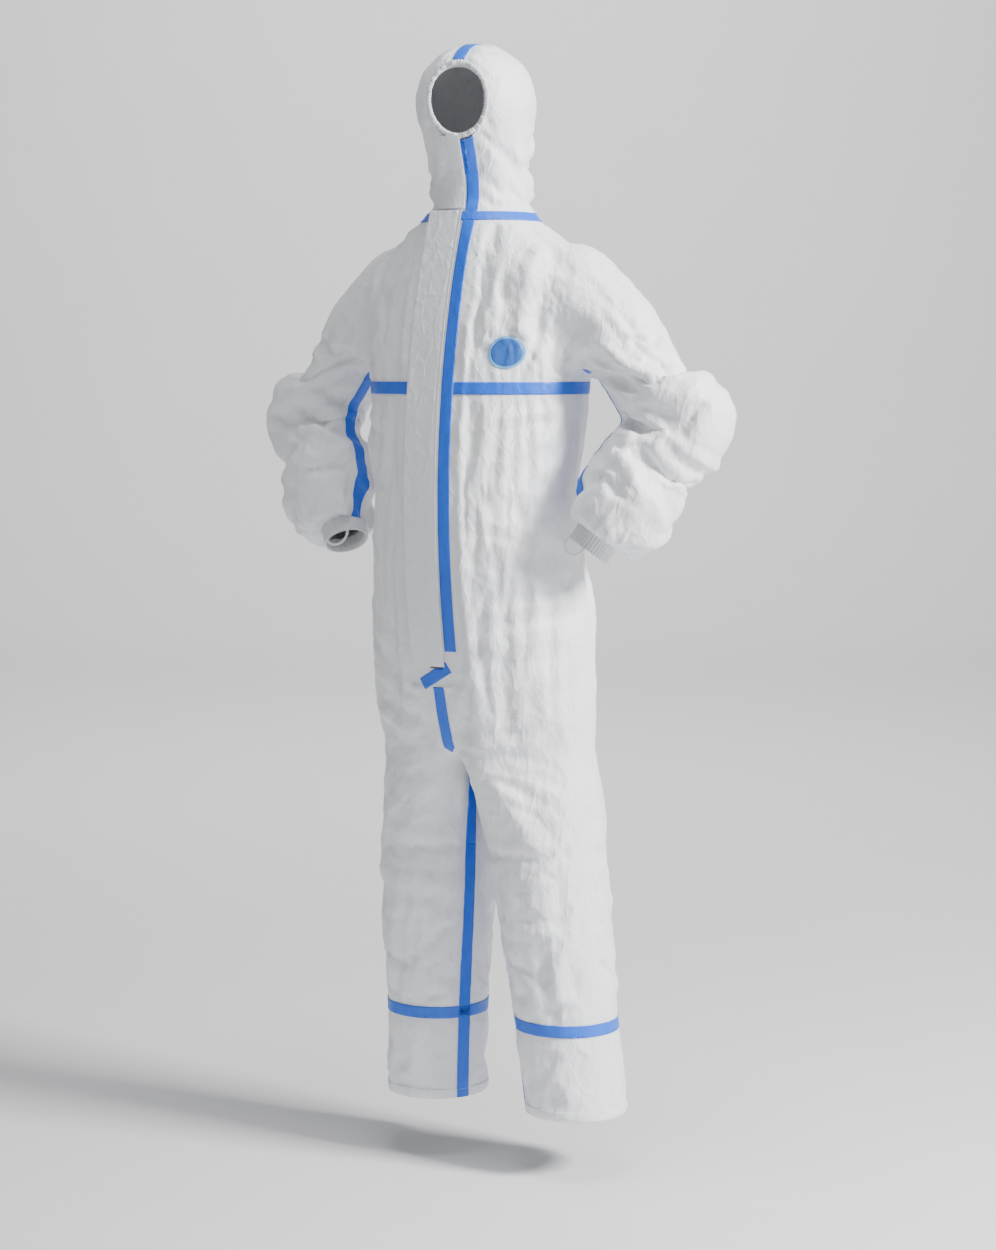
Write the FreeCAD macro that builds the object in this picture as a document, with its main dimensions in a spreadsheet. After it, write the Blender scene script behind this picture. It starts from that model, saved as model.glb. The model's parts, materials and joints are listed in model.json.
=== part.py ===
"""Hooded chemical protective suit, held in its worn shape by the wearer.

Frame: millimetres, origin at the centre of the neck seam, +X to the wearer's left, -Y to the front,
+Z up. Every fabric panel is a thin shell cut out of a loft through oval outlines, so neighbouring
panels share one surface. Where the fabric creases at a shoulder, elbow, hip, knee or the neck, the
stretch that crumples is a panel of its own between two panels that keep their shape.
"""

import FreeCAD, Part
import math
import os
import Sketcher
from FreeCAD import Matrix, Placement, Rotation, Vector

doc = FreeCAD.newDocument("protective_suit")
sheet = doc.addObject("Spreadsheet::Sheet", "Sizes")

SIZES = {
    # fabric, tape and the clearances between pieces
    "wall": 1.2, "glue_gap": 0.3, "tape_thick": 0.5, "tape_width": 20, "body_gap": 0.5,
    # front closure: the zip lies on a long arc, seen from the side
    "arc_radius": 1400, "belly_level": -470, "belly_front": -183,
    "zip_top": -24, "zip_bottom": -742, "zip_depth": 4, "zip_slot": 24,
    "coil_thick": 2.2, "coil_width": 2.4, "coil_split": 2.0, "zip_tape_thick": 0.6, "zip_tape_half": 16,
    "slider_long": 13, "slider_half": 5.2, "plate_thick": 1.2, "run_clear": 0.35,
    "pull_long": 24, "pull_wide": 6, "pull_thick": 1.0, "pin_radius": 0.8,
    # storm flap, chin flap and the tape along their sewn edge
    "flap_free_edge": -44, "flap_sewn_edge": 19, "flap_stand": 4.2, "flap_thick": 0.8,
    "chin_flap_top": 121, "chin_flap_bottom": 5,
    "chin_free_edge": -58, "chin_sewn_edge": 3, "flap_rise": 26, "flap_run": 4, "flap_end_tape_long": 62, "flap_end_tilt": 30,
    # torso: half widths and back lines at named levels
    "neck_half_width": 86, "neck_back": 64,
    "shoulder_level": -92, "shoulder_half_width": 200, "shoulder_back": 98,
    "chest_level": -285, "chest_half_width": 190, "chest_back": 125,
    "waist_level": -450, "waist_half_width": 174, "waist_back": 108,
    "seat_level": -600, "seat_half_width": 189, "seat_back": 135,
    "hip_level": -760, "hip_half_width": 195, "hip_back": 132, "crotch_level": -880, "crotch_taper": 5,
    "side_line": -20, "elastic_width": 15, "elastic_thick": 1.5, "badge_radius": 26, "badge_x": 120, "badge_level": -228,
    # hood
    "head_turn": 12, "collar_top": 60, "head_half_width": 92, "head_half_depth": 106, "crown_level": 272,
    "face_level": 178, "face_half_width": 50, "face_half_height": 58, "face_band": 7, "face_band_thick": 1.6,
    # arms: shoulder, elbow and wrist points of the left arm; the right one mirrors them
    "shoulder_x": 190, "shoulder_y": 0, "shoulder_z": -110, "elbow_x": 355, "elbow_y": 10, "elbow_z": -345,
    "wrist_x": 248, "wrist_y": -65, "wrist_z": -525, "sleeve_root_radius": 62, "upper_sleeve_radius": 74,
    "elbow_radius": 74, "lower_sleeve_radius": 82, "shoulder_fold": 110, "elbow_fold": 62,
    "cuff_radius": 34, "cuff_thick": 3, "cuff_long": 25, "loop_radius": 20, "loop_thick": 2,
    # legs
    "leg_split": 4, "knee_level": -1150, "knee_fold": 100, "knee_half_width": 92, "knee_half_depth": 98,
    "shin_seam_level": -1340, "shin_radius": 86, "hem_level": -1490, "hem_radius": 84,
    "left_stance": 77, "right_stance": 6, "inseam_forward": 37,
}
for row, (alias, value) in enumerate(SIZES.items(), start=1):
    sheet.set(f"A{row}", alias)
    sheet.set(f"B{row}", str(value))
    sheet.setAlias(f"B{row}", alias)
doc.recompute()


def size(alias):
    return float(sheet.get(alias))


WALL = size("wall")
GAP = size("glue_gap")
TAPE_IN = GAP
TAPE_OUT = GAP + size("tape_thick")
REACH = 2500.0
NODES = []


# ---------------------------------------------------------------- small helpers

def ring(centre, out, inn, deep, turn=None):
    """An oval outline: out and inn are its half widths to local +X and -X, deep its half depth."""
    return Placement(centre, turn or Rotation()), out, inn, deep


def outline(label, place, out, inn, deep):
    """The oval as a wire of two half ellipses that meet at its front and back points."""
    edges = []
    for half_width, start in ((out, -90), (inn, 90)):
        arc = Part.makeCircle(1.0, Vector(), Vector(0, 0, 1), start, start + 180)
        scale = Matrix()
        scale.scale(half_width, deep, 1.0)
        edges.append(arc.transformGeometry(scale))
    rib = doc.addObject("Part::Feature", label)
    rib.Shape = Part.Wire(edges)
    rib.Placement = place
    return rib


def volume(label, rings, grow=0.0):
    """A solid through the rings, each outline moved outwards by grow."""
    ribs = []
    for number, (place, out, inn, deep) in enumerate(rings):
        ribs.append(outline(f"{label}_rib_{number}", place, out + grow, inn + grow, deep + grow))
    solid = doc.addObject("Part::Loft", label)
    solid.Sections = ribs
    solid.Solid = True
    solid.MaxDegree = 2  # higher degrees swing wide between unevenly spaced outlines
    return solid


def boolean(kind, label, base, tool):
    result = doc.addObject("Part::" + kind, label)
    result.Base = base
    result.Tool = tool
    return result


def shell(label, rings, outer=0.0, inner=None):
    """The layer between two offsets of one surface; a plain fabric wall by default."""
    inner = -WALL if inner is None else inner
    return boolean("Cut", label, volume(label + "_outer", rings, outer), volume(label + "_inner", rings, inner))


def block(label, x, y, z):
    """A box between pairs of expressions, each of which may name cells of the sheet."""
    box = doc.addObject("Part::Box", label)
    for axis, side, (low, high) in (("x", "Length", x), ("y", "Width", y), ("z", "Height", z)):
        box.setExpression("Placement.Base." + axis, f"{low}")
        box.setExpression(side, f"({high}) - ({low})")
    return box


def turned_block(label, corner, turn, length, width, height):
    """A box at a corner point, turned, with its three sides given by expressions."""
    box = doc.addObject("Part::Box", label)
    box.Placement = Placement(corner, turn)
    for side, amount in (("Length", length), ("Width", width), ("Height", height)):
        box.setExpression(side, f"{amount}")
    return box


def union(label, pieces):
    joined = doc.addObject("Part::MultiFuse", label)
    joined.Shapes = pieces
    return joined


def node(obj, label=None):
    """Marks an object as a sub-part that is written out."""
    obj.Label = label or obj.Label
    NODES.append(obj)
    return obj


def panel(label, base, box):
    return node(boolean("Common", label, base, box))


def front_line(level):
    """How far forward the front of the suit stands at a level: the zip's arc."""
    radius = size("arc_radius")
    return size("belly_front") + radius - math.sqrt(radius ** 2 - (level - size("belly_level")) ** 2)


def arc_angle(level):
    return math.asin((level - size("belly_level")) / size("arc_radius"))


def arc_place(level, x=0.0):
    """The frame on the front arc at a level: local Z runs up along the arc, local -Y points out."""
    angle = arc_angle(level)
    centre_y = size("belly_front") + size("arc_radius")
    outward = Vector(0, -math.cos(angle), math.sin(angle))
    point = Vector(x, centre_y, size("belly_level")) + outward * size("arc_radius")
    return Placement(point, Rotation(Vector(1, 0, 0), -math.degrees(angle)))


def arc_band(label, near, far, x_low, x_high, top, bottom):
    """A strip along the front arc, from near to far in front of it (expressions in mm)."""
    start = arc_angle(top)
    sweep = math.degrees(start - arc_angle(bottom))
    along = Vector(0, -math.cos(start), math.sin(start))
    across = Vector(0, -math.sin(start), -math.cos(start))
    turn = Rotation(along, across, Vector(1, 0, 0), "ZXY")
    centre_y = size("belly_front") + size("arc_radius")
    sectors = []
    for name, stand in (("near", near), ("far", far)):
        sector = doc.addObject("Part::Cylinder", f"{label}_{name}")
        sector.Placement = Placement(Vector(0, centre_y, size("belly_level")), turn)
        sector.setExpression("Placement.Base.x", f"{x_low}")
        sector.setExpression("Radius", f"Sizes.arc_radius + ({stand})")
        sector.setExpression("Height", f"({x_high}) - ({x_low})")
        sector.Angle = sweep
        sectors.append(sector)
    return boolean("Cut", label, sectors[1], sectors[0])


# ---------------------------------------------------------------- torso

def torso_ring(level, half_width, back):
    front = front_line(level)
    depth = (back - front) / 2
    return ring(Vector(0, (back + front) / 2, level), half_width, half_width, depth)


def torso_rings():
    shoulder = size("shoulder_half_width")
    neck = size("neck_half_width")
    hip = size("hip_half_width")
    slope = size("shoulder_level")
    return [
        torso_ring(0.0, neck, size("neck_back")),
        torso_ring(slope * 0.2, neck + (shoulder - neck) * 0.2, size("neck_back") + 8),
        torso_ring(slope * 0.55, neck + (shoulder - neck) * 0.64, size("neck_back") + 20),
        torso_ring(slope, shoulder, size("shoulder_back")),
        torso_ring((slope + size("chest_level")) / 2, shoulder - 2, size("chest_back") - 6),
        torso_ring(size("chest_level"), size("chest_half_width"), size("chest_back")),
        torso_ring(size("waist_level"), size("waist_half_width"), size("waist_back")),
        torso_ring(size("seat_level"), size("seat_half_width"), size("seat_back")),
        torso_ring(size("hip_level"), hip, size("hip_back")),
        torso_ring(size("crotch_level"), hip - size("crotch_taper"), size("hip_back") - 12),
    ]


torso = torso_rings()
torso_wall = shell("torso_wall", torso)
torso_tape = shell("torso_tape", torso, TAPE_OUT, TAPE_IN)
torso_keep_out = volume("torso_keep_out", torso, 4.0)
torso_touch = volume("torso_touch", torso, GAP)

SIDE_LINE = "Sizes.side_line"
FAR = f"{REACH}"
EDGE = "Sizes.zip_slot / 2"
UPPER = ("Sizes.chest_level", "0")
LOWER = ("Sizes.hip_level", "Sizes.chest_level")
SEAT = ("Sizes.crotch_level", "Sizes.hip_level")


def arm_points(side):
    points = []
    for joint in ("shoulder", "elbow", "wrist"):
        points.append(Vector(side * size(joint + "_x"), size(joint + "_y"), size(joint + "_z")))
    return points


def across(point, direction, radius):
    """A round outline square to a direction."""
    turn = Rotation(Vector(1, 0, 0), Vector(0, 1, 0), direction, "ZYX")
    return ring(point, radius, radius, radius, turn)


def sleeve_root_rings(side):
    shoulder, elbow, _ = arm_points(side)
    upper = (elbow - shoulder).normalize()
    inward = Vector(side, 0, -0.35).normalize()
    radius = size("sleeve_root_radius")
    start = shoulder - Vector(side * 75, 0, -5)
    last = shoulder + upper * (size("shoulder_fold") - size("body_gap"))
    between = (inward + upper).normalize()
    return [
        across(start, inward, radius - 4),
        across(shoulder + Vector(-side * 8, 0, -4), between, radius + 6),
        across(last, upper, size("upper_sleeve_radius")),
    ]


armholes = union("armholes", [
    volume(f"{name}_armhole", sleeve_root_rings(side), -WALL) for name, side in (("left", 1), ("right", -1))
])
bodice_wall = boolean("Cut", "bodice_wall", torso_wall, armholes)
panel("bodice_front_left", bodice_wall, block("bfl", (EDGE, FAR), ("-" + FAR, SIDE_LINE), UPPER))
panel("bodice_front_right", bodice_wall, block("bfr", ("-" + FAR, "-" + EDGE), ("-" + FAR, SIDE_LINE), UPPER))
panel("bodice_back", bodice_wall, block("bb", ("-" + FAR, FAR), (SIDE_LINE, FAR), UPPER))
panel("body_front_left", torso_wall, block("lfl", (EDGE, FAR), ("-" + FAR, SIDE_LINE), LOWER))
panel("body_front_right", torso_wall, block("lfr", ("-" + FAR, "-" + EDGE), ("-" + FAR, SIDE_LINE), LOWER))
panel("body_back", torso_wall, block("lb", ("-" + FAR, FAR), (SIDE_LINE, FAR), LOWER))
panel("left_seat_panel", torso_wall, block("sl", ("0", FAR), ("-" + FAR, FAR), SEAT))
panel("right_seat_panel", torso_wall, block("sr", ("-" + FAR, "0"), ("-" + FAR, FAR), SEAT))

# seam tapes of the torso
HALF_TAPE = "Sizes.tape_width / 2"
TAPE_EDGE = "(Sizes.flap_sewn_edge + 1)"
panel("neck_seam_tape", torso_tape, block("nt", ("-" + FAR, FAR), ("-" + FAR, FAR), ("-14", "0")))
chest_band = block("chest_band", ("-" + FAR, FAR), ("-" + FAR, FAR),
                   (f"Sizes.chest_level - {HALF_TAPE}", f"Sizes.chest_level + {HALF_TAPE}"))
chest_break = block("chest_break", (f"-{EDGE} - 1", f"{TAPE_EDGE} + Sizes.tape_width + 0.3"),
                    ("-" + FAR, "0"), ("-" + FAR, FAR))
panel("chest_seam_tape", torso_tape, boolean("Cut", "chest_tape_space", chest_band, chest_break))
panel("seat_seam_tape", torso_tape,
      block("st", ("-" + HALF_TAPE, HALF_TAPE), ("0", FAR),
            ("Sizes.hip_level + Sizes.body_gap", f"Sizes.chest_level - {HALF_TAPE} - 0.3")))
panel("flap_seam_tape", torso_tape,
      block("ft", (TAPE_EDGE, f"{TAPE_EDGE} + Sizes.tape_width"), ("-" + FAR, "0"),
            ("Sizes.zip_bottom + 30", "-14.3")))
end_turn = Rotation(Vector(0, 1, 0), -size("flap_end_tilt"))
end_long = size("flap_end_tape_long")
end_corner = Vector(-4, -REACH, size("zip_bottom") - 12) + end_turn.multVec(
    Vector(-end_long / 2, 0, -size("tape_width") / 2))
panel("flap_end_tape", torso_tape,
      turned_block("et", end_corner, end_turn, "Sizes.flap_end_tape_long", FAR, "Sizes.tape_width"))
crotch_sides = boolean("Common", "crotch_sides", torso_tape,
                       block("cs", ("-" + HALF_TAPE, HALF_TAPE), ("-" + FAR, FAR),
                             ("Sizes.crotch_level", "Sizes.hip_level - 32")))
crotch_under = block("crotch_under", ("-" + HALF_TAPE, HALF_TAPE),
                     (f"{front_line(size('crotch_level')) - TAPE_OUT}", "Sizes.hip_back - 12"),
                     ("Sizes.crotch_level - 1.3", "Sizes.crotch_level"))
node(union("crotch_seam_tape", [crotch_sides, crotch_under]))

badge_space = doc.addObject("Part::Cylinder", "badge_space")
badge_space.setExpression("Radius", "Sizes.badge_radius")
badge_space.Height = REACH
badge_space.Placement = Placement(Vector(size("badge_x"), 0, size("badge_level")), Rotation(Vector(1, 0, 0), 90))
panel("size_badge", torso_tape, badge_space)

waist_wall = shell("waist_wall", torso, -WALL - GAP, -WALL - GAP - size("elastic_thick"))
panel("waist_elastic", waist_wall,
      block("we", ("-" + FAR, FAR), ("20", FAR),
            ("Sizes.waist_level - Sizes.elastic_width", "Sizes.waist_level")))

# ---------------------------------------------------------------- front zip and storm flap

COIL_IN = "Sizes.coil_split / 2"
COIL_OUT = "(Sizes.coil_split / 2 + Sizes.coil_width)"
top = size("zip_top")
bottom = size("zip_bottom")
for part_name, thick, x_low, x_high in (("coil", "coil_thick", COIL_IN, COIL_OUT),
                                        ("tape", "zip_tape_thick", COIL_OUT, "Sizes.zip_tape_half")):
    pair = []
    for name, low, high in (("left", x_low, x_high), ("right", "-" + x_high, "-" + x_low)):
        pair.append(arc_band(f"zip_{part_name}_{name}", f"-Sizes.zip_depth - Sizes.{thick} / 2",
                             f"-Sizes.zip_depth + Sizes.{thick} / 2", low, high, top, bottom))
    both = doc.addObject("Part::Compound", f"zip_{part_name}s")
    both.Links = pair
    node(both)

stops = []
for name, level in (("top", top + 3.2), ("bottom", bottom - 3.2)):
    stop = doc.addObject("Part::Box", f"zip_{name}_stop")
    stop.setExpression("Length", f"2 * {COIL_OUT}")
    stop.setExpression("Width", "Sizes.coil_thick")
    stop.Height = 4
    place = arc_place(level, -(size("coil_split") / 2 + size("coil_width")))
    stop.Placement = place * Placement(Vector(0, size("zip_depth") - size("coil_thick") / 2, -2), Rotation())
    stops.append(stop)
zip_stops = doc.addObject("Part::Compound", "zip_stops")
zip_stops.Links = stops
node(zip_stops)


def origin_plane(body, role):
    return next(item for item in body.Origin.OriginFeatures if item.Role == role)


def plate(body, name, x, y, z):
    """Pads a rectangle, sketched on the body's XZ plane, from y[0] to y[1]; expressions in mm."""
    sketch = body.newObject("Sketcher::SketchObject", name + "_sketch")
    sketch.AttachmentSupport = [(origin_plane(body, "XZ_Plane"), "")]
    sketch.MapMode = "FlatFace"
    corners = [Vector(0, 0, 0), Vector(1, 0, 0), Vector(1, 1, 0), Vector(0, 1, 0)]
    for start in range(4):
        sketch.addGeometry(Part.LineSegment(corners[start], corners[(start + 1) % 4]), False)
    for start in range(4):
        sketch.addConstraint(Sketcher.Constraint("Coincident", start, 2, (start + 1) % 4, 1))
    for edge, kind in ((0, "Horizontal"), (2, "Horizontal"), (1, "Vertical"), (3, "Vertical")):
        sketch.addConstraint(Sketcher.Constraint(kind, edge))
    for title, kind, edge, amount in (("low_x", "DistanceX", 0, x[0]), ("low_z", "DistanceY", 0, z[0])):
        index = sketch.addConstraint(Sketcher.Constraint(kind, -1, 1, edge, 1, 1.0))
        sketch.renameConstraint(index, title)
        sketch.setExpression("Constraints." + title, amount)
    for title, kind, edge, span in (("wide", "DistanceX", 0, x), ("tall", "DistanceY", 1, z)):
        index = sketch.addConstraint(Sketcher.Constraint(kind, edge, 1, edge, 2, 1.0))
        sketch.renameConstraint(index, title)
        sketch.setExpression("Constraints." + title, f"({span[1]}) - ({span[0]})")
    sketch.setExpression("AttachmentOffset.Base.z", f"-({y[1]})")
    pad = body.newObject("PartDesign::Pad", name)
    pad.Profile = sketch
    pad.setExpression("Length", f"({y[1]}) - ({y[0]})")
    return pad


# The slider straddles both coils: two plates, a post between the coils, side flanges and a lug
# that carries the pull. Local Y is measured inwards from the front arc.
SLIDER_LEVEL = top - 12
slider = doc.addObject("PartDesign::Body", "zip_slider")
coil_front = "(Sizes.zip_depth - Sizes.coil_thick / 2 - Sizes.run_clear)"
coil_back = "(Sizes.zip_depth + Sizes.coil_thick / 2 + Sizes.run_clear)"
half_long = "Sizes.slider_long / 2"
SLIDER_SPAN = ("-Sizes.slider_half", "Sizes.slider_half")
LONG_SPAN = ("-" + half_long, half_long)
plate(slider, "front_plate", SLIDER_SPAN, (f"{coil_front} - Sizes.plate_thick", coil_front), LONG_SPAN)
plate(slider, "post", ("-Sizes.coil_split / 2 + Sizes.run_clear", "Sizes.coil_split / 2 - Sizes.run_clear"),
      (f"{coil_front} - 0.2", f"{coil_back} + 0.2"), (f"{half_long} - 4", f"{half_long} - 0.5"))
plate(slider, "back_plate", SLIDER_SPAN, (coil_back, f"{coil_back} + Sizes.plate_thick"), LONG_SPAN)
LUG_REACH = "3.4"
for name, sign in (("left_cheek", 1), ("right_cheek", -1)):
    edges = sorted((sign * 1.6, sign * 2.8))
    plate(slider, name, (f"{edges[0]}", f"{edges[1]}"),
          (f"{coil_front} - Sizes.plate_thick - {LUG_REACH}", f"{coil_front} - Sizes.plate_thick + 0.1"),
          ("-2", "2"))
slider.Placement = arc_place(SLIDER_LEVEL)
node(slider)

PIN_DEPTH = size("zip_depth") - size("coil_thick") / 2 - size("run_clear") - size("plate_thick") - 1.9
pull_place = arc_place(SLIDER_LEVEL)
pull_plate = turned_block(
    "pull_plate", pull_place.multVec(Vector(-size("pull_wide") / 2, PIN_DEPTH - size("pull_thick") / 2,
                                            -size("pull_long"))),
    pull_place.Rotation, "Sizes.pull_wide", "Sizes.pull_thick", "Sizes.pull_long - 3")
pull_neck = turned_block(
    "pull_neck", pull_place.multVec(Vector(-1.2, PIN_DEPTH - size("pull_thick") / 2, -3.2)),
    pull_place.Rotation, "2.4", "Sizes.pull_thick", "3.2")
pull_pin = doc.addObject("Part::Cylinder", "pull_pin")
pull_pin.setExpression("Radius", "Sizes.pin_radius")
pull_pin.Height = 2.6
pull_pin.Placement = Placement(pull_place.multVec(Vector(-1.3, PIN_DEPTH, 0)),
                               pull_place.Rotation * Rotation(Vector(0, 1, 0), 90))
node(union("zip_pull", [pull_plate, pull_neck, pull_pin]))

node(arc_band("storm_flap", "Sizes.flap_stand", "Sizes.flap_stand + Sizes.flap_thick",
              "Sizes.flap_free_edge", "Sizes.flap_sewn_edge", top + size("flap_rise"), bottom + size("flap_run")))
panel("flap_adhesive_strip", torso_tape,
      block("as", ("Sizes.flap_free_edge + 3", "Sizes.flap_free_edge + 19"), ("-" + FAR, "0"),
            ("Sizes.zip_bottom + 50", f"Sizes.chest_level - {HALF_TAPE} - 4")))

# ---------------------------------------------------------------- hood

NECK_CENTRE = Vector(0, (front_line(0.0) + size("neck_back")) / 2, 0)
HEAD = Placement(NECK_CENTRE, Rotation(Vector(0, 0, 1), size("head_turn")))


def hood_rings(crown_drop=0.0):
    """Outlines from the neck seam to the crown; the last ones sink by crown_drop for the inside."""
    neck = size("neck_half_width") - 2
    neck_deep = (size("neck_back") - front_line(0.0)) / 2 - 1
    wide = size("head_half_width")
    deep = size("head_half_depth")
    crown = size("crown_level")
    levels = [
        (size("body_gap"), 0, neck, neck_deep),
        (size("collar_top"), 0, wide * 0.87, neck_deep - 1),
        (crown * 0.46, -12, wide * 0.92, deep * 0.92),
        (crown * 0.65, -22, wide, deep),
        (crown * 0.83, -22, wide * 0.86, deep * 0.9),
        (crown * 0.945 - crown_drop, -20, wide * 0.54, deep * 0.6),
        (crown - crown_drop, -18, wide * 0.2, deep * 0.24),
    ]
    rings = []
    for level, forward, half_width, half_depth in levels:
        centre = HEAD.multVec(Vector(0, forward, level))
        rings.append(ring(centre, half_width, half_width, half_depth, HEAD.Rotation))
    return rings


def face_rings():
    """The face opening as a straight oval passage through the front of the hood."""
    rings = []
    for reach in (50, 220):
        centre = HEAD.multVec(Vector(0, -reach, size("face_level")))
        turn = HEAD.Rotation * Rotation(Vector(1, 0, 0), 90)
        rings.append(ring(centre, size("face_half_width"), size("face_half_width"), size("face_half_height"), turn))
    return rings


def hood_block(label, x, y, z):
    """A box in the turned frame of the head, from three pairs of numbers in mm."""
    box = doc.addObject("Part::Box", label)
    box.Length = x[1] - x[0]
    box.Width = y[1] - y[0]
    box.Height = z[1] - z[0]
    box.Placement = Placement(HEAD.multVec(Vector(x[0], y[0], z[0])), HEAD.Rotation)
    return box


SPAN = (-400, 400)
face_hole = volume("face_hole", face_rings())
hood_wall = boolean("Cut", "hood_wall", volume("hood_outer", hood_rings()),
                    volume("hood_inner", hood_rings(WALL), -WALL))
hood_tape = boolean("Cut", "hood_tape", volume("hood_tape_outer", hood_rings(-TAPE_OUT), TAPE_OUT),
                    volume("hood_tape_inner", hood_rings(-TAPE_IN), TAPE_IN))
hood_open = boolean("Cut", "hood_open", hood_wall, face_hole)
collar_top = size("collar_top")
panel("collar", hood_wall, hood_block("collar_space", SPAN, SPAN, (0, collar_top - size("body_gap"))))
panel("hood_left_panel", hood_open, hood_block("hl", (0, 400), SPAN, (collar_top, 400)))
panel("hood_right_panel", hood_open, hood_block("hr", (-400, 0), SPAN, (collar_top, 400)))

BAND_OUT = GAP + size("face_band_thick")
band_shell = boolean("Cut", "band_shell", volume("band_outer", hood_rings(-BAND_OUT), BAND_OUT),
                     volume("band_inner", hood_rings(-GAP), GAP))
band_ring = boolean("Cut", "band_ring", volume("face_edge", face_rings(), size("face_band")), face_hole)
panel("face_elastic", band_shell, band_ring)

half_tape = size("tape_width") / 2
face_top = size("face_level") + size("face_half_height") + size("face_band")
crown_space = union("crown_space", [
    hood_block("crown_front", (-half_tape, half_tape), (-180, -20), (face_top + 2, 400)),
    hood_block("crown_back", (-half_tape, half_tape), (-20, 180), (collar_top, 400)),
])
panel("crown_seam_tape", hood_tape, crown_space)
tape_edge = size("chin_sewn_edge") + 1
face_side = boolean("Cut", "chin_tape_space",
                    hood_block("ct", (tape_edge, tape_edge + size("tape_width")), (-200, 0),
                               (collar_top, size("chin_flap_top"))),
                    volume("face_edge_clear", face_rings(), size("face_band") + GAP))
panel("chin_seam_tape", hood_tape, face_side)

CHIN_STAND = BAND_OUT + 1.5
chin_shell = shell("chin_shell", hood_rings(), CHIN_STAND + size("flap_thick"), CHIN_STAND)
panel("chin_flap", chin_shell,
      hood_block("cf", (size("chin_free_edge"), size("chin_sewn_edge")), (-250, -30),
                 (size("chin_flap_bottom"), size("chin_flap_top"))))


# ---------------------------------------------------------------- sleeves

def along_box(label, start, direction, toward, length):
    """A tape-wide slab that runs from start along a direction, reaching out to one side."""
    side_way = (toward - direction * toward.dot(direction)).normalize()
    turn = Rotation(side_way, direction.cross(side_way), direction, "ZXY")
    corner = start - turn.multVec(Vector(0, size("tape_width") / 2, 0))
    return turned_block(label, corner, turn, "160", "Sizes.tape_width", f"{length}")


def sleeve(name, side):
    shoulder, elbow, wrist = arm_points(side)
    upper = (elbow - shoulder).normalize()
    lower = (wrist - elbow).normalize()
    upper_long = (elbow - shoulder).Length
    lower_long = (wrist - elbow).Length
    fold = size("elbow_fold")
    gap = size("body_gap")
    middle = (upper + lower).normalize()
    elbow_radius = size("elbow_radius")
    underarm = Vector(-side, -0.35, -0.1)

    root = boolean("Cut", f"{name}_shoulder_panel", shell(f"{name}_root", sleeve_root_rings(side)), torso_touch)
    node(root)

    start = shoulder + upper * size("shoulder_fold")
    upper_end = upper_long - fold
    upper_rings = [
        across(start, upper, size("upper_sleeve_radius")),
        across(shoulder + upper * (size("shoulder_fold") + upper_end) * 0.5, upper, size("upper_sleeve_radius") - 6),
        across(shoulder + upper * upper_end, upper, elbow_radius - 2),
    ]
    node(boolean("Cut", f"{name}_upper_sleeve", shell(f"{name}_upper", upper_rings), torso_keep_out))
    upper_tape = boolean("Cut", f"{name}_upper_tape", shell(f"{name}_upper_strip", upper_rings, TAPE_OUT, TAPE_IN),
                         torso_keep_out)
    panel(f"{name}_underarm_tape_upper", upper_tape,
          along_box(f"{name}_upper_slab", start, upper, underarm, upper_end - size("shoulder_fold")))

    elbow_rings = [
        across(shoulder + upper * (upper_end + gap), upper, elbow_radius - 2),
        across(elbow + (upper - lower).normalize() * 10, middle, elbow_radius + 5),
        across(elbow + lower * (fold - gap), lower, elbow_radius + 2),
    ]
    node(shell(f"{name}_elbow_panel", elbow_rings))

    radius = size("lower_sleeve_radius")
    cuff_outer = size("cuff_radius") + size("cuff_thick")
    lower_rings = [
        across(elbow + lower * fold, lower, elbow_radius + 2),
        across(elbow + lower * (fold + (lower_long - fold) * 0.45), lower, radius),
        across(elbow + lower * (lower_long - 26), lower, radius - 14),
        across(elbow + lower * (lower_long - 6), lower, cuff_outer + 8),
        across(elbow + lower * lower_long, lower, cuff_outer - 0.5),
    ]
    node(shell(f"{name}_lower_sleeve", lower_rings))
    panel(f"{name}_underarm_tape_lower", shell(f"{name}_lower_strip", lower_rings, TAPE_OUT, TAPE_IN),
          along_box(f"{name}_lower_slab", elbow + lower * fold, lower, underarm, lower_long - fold - 24))

    hand_turn = Rotation(Vector(1, 0, 0), Vector(0, 1, 0), lower, "ZYX")
    cuff_parts = []
    for title, radius_text in (("body", "Sizes.cuff_radius + Sizes.cuff_thick"), ("bore", "Sizes.cuff_radius")):
        tube = doc.addObject("Part::Cylinder", f"{name}_cuff_{title}")
        tube.setExpression("Radius", radius_text)
        tube.setExpression("Height", "Sizes.cuff_long")
        tube.Placement = Placement(wrist, hand_turn)
        cuff_parts.append(tube)
    node(boolean("Cut", f"{name}_cuff_elastic", cuff_parts[0], cuff_parts[1]))

    thumb = (Vector(0, -1, 0.6) - lower * Vector(0, -1, 0.6).dot(lower)).normalize()
    loop = doc.addObject("Part::Torus", f"{name}_thumb_loop")
    loop.setExpression("Radius1", "Sizes.loop_radius")
    loop.setExpression("Radius2", "Sizes.loop_thick")
    loop.Angle3 = 180
    rim = size("cuff_radius") + size("cuff_thick") / 2
    loop.Placement = Placement(wrist + lower * (size("cuff_long") + gap) + thumb * rim,
                               Rotation(lower.cross(thumb), lower, thumb, "ZYX"))
    node(loop)


sleeve("left", 1)
sleeve("right", -1)


# ---------------------------------------------------------------- legs

def leg_centre(side, level):
    """The middle of a leg: it moves out below the crotch by its stance."""
    stance = size("left_stance") if side > 0 else size("right_stance")
    share = (size("crotch_level") - level) / (size("crotch_level") - size("hem_level"))
    half_top = (size("hip_half_width") - size("crotch_taper") - size("leg_split")) / 2
    return side * (half_top + size("leg_split") + stance * max(share, 0.0))


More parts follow.
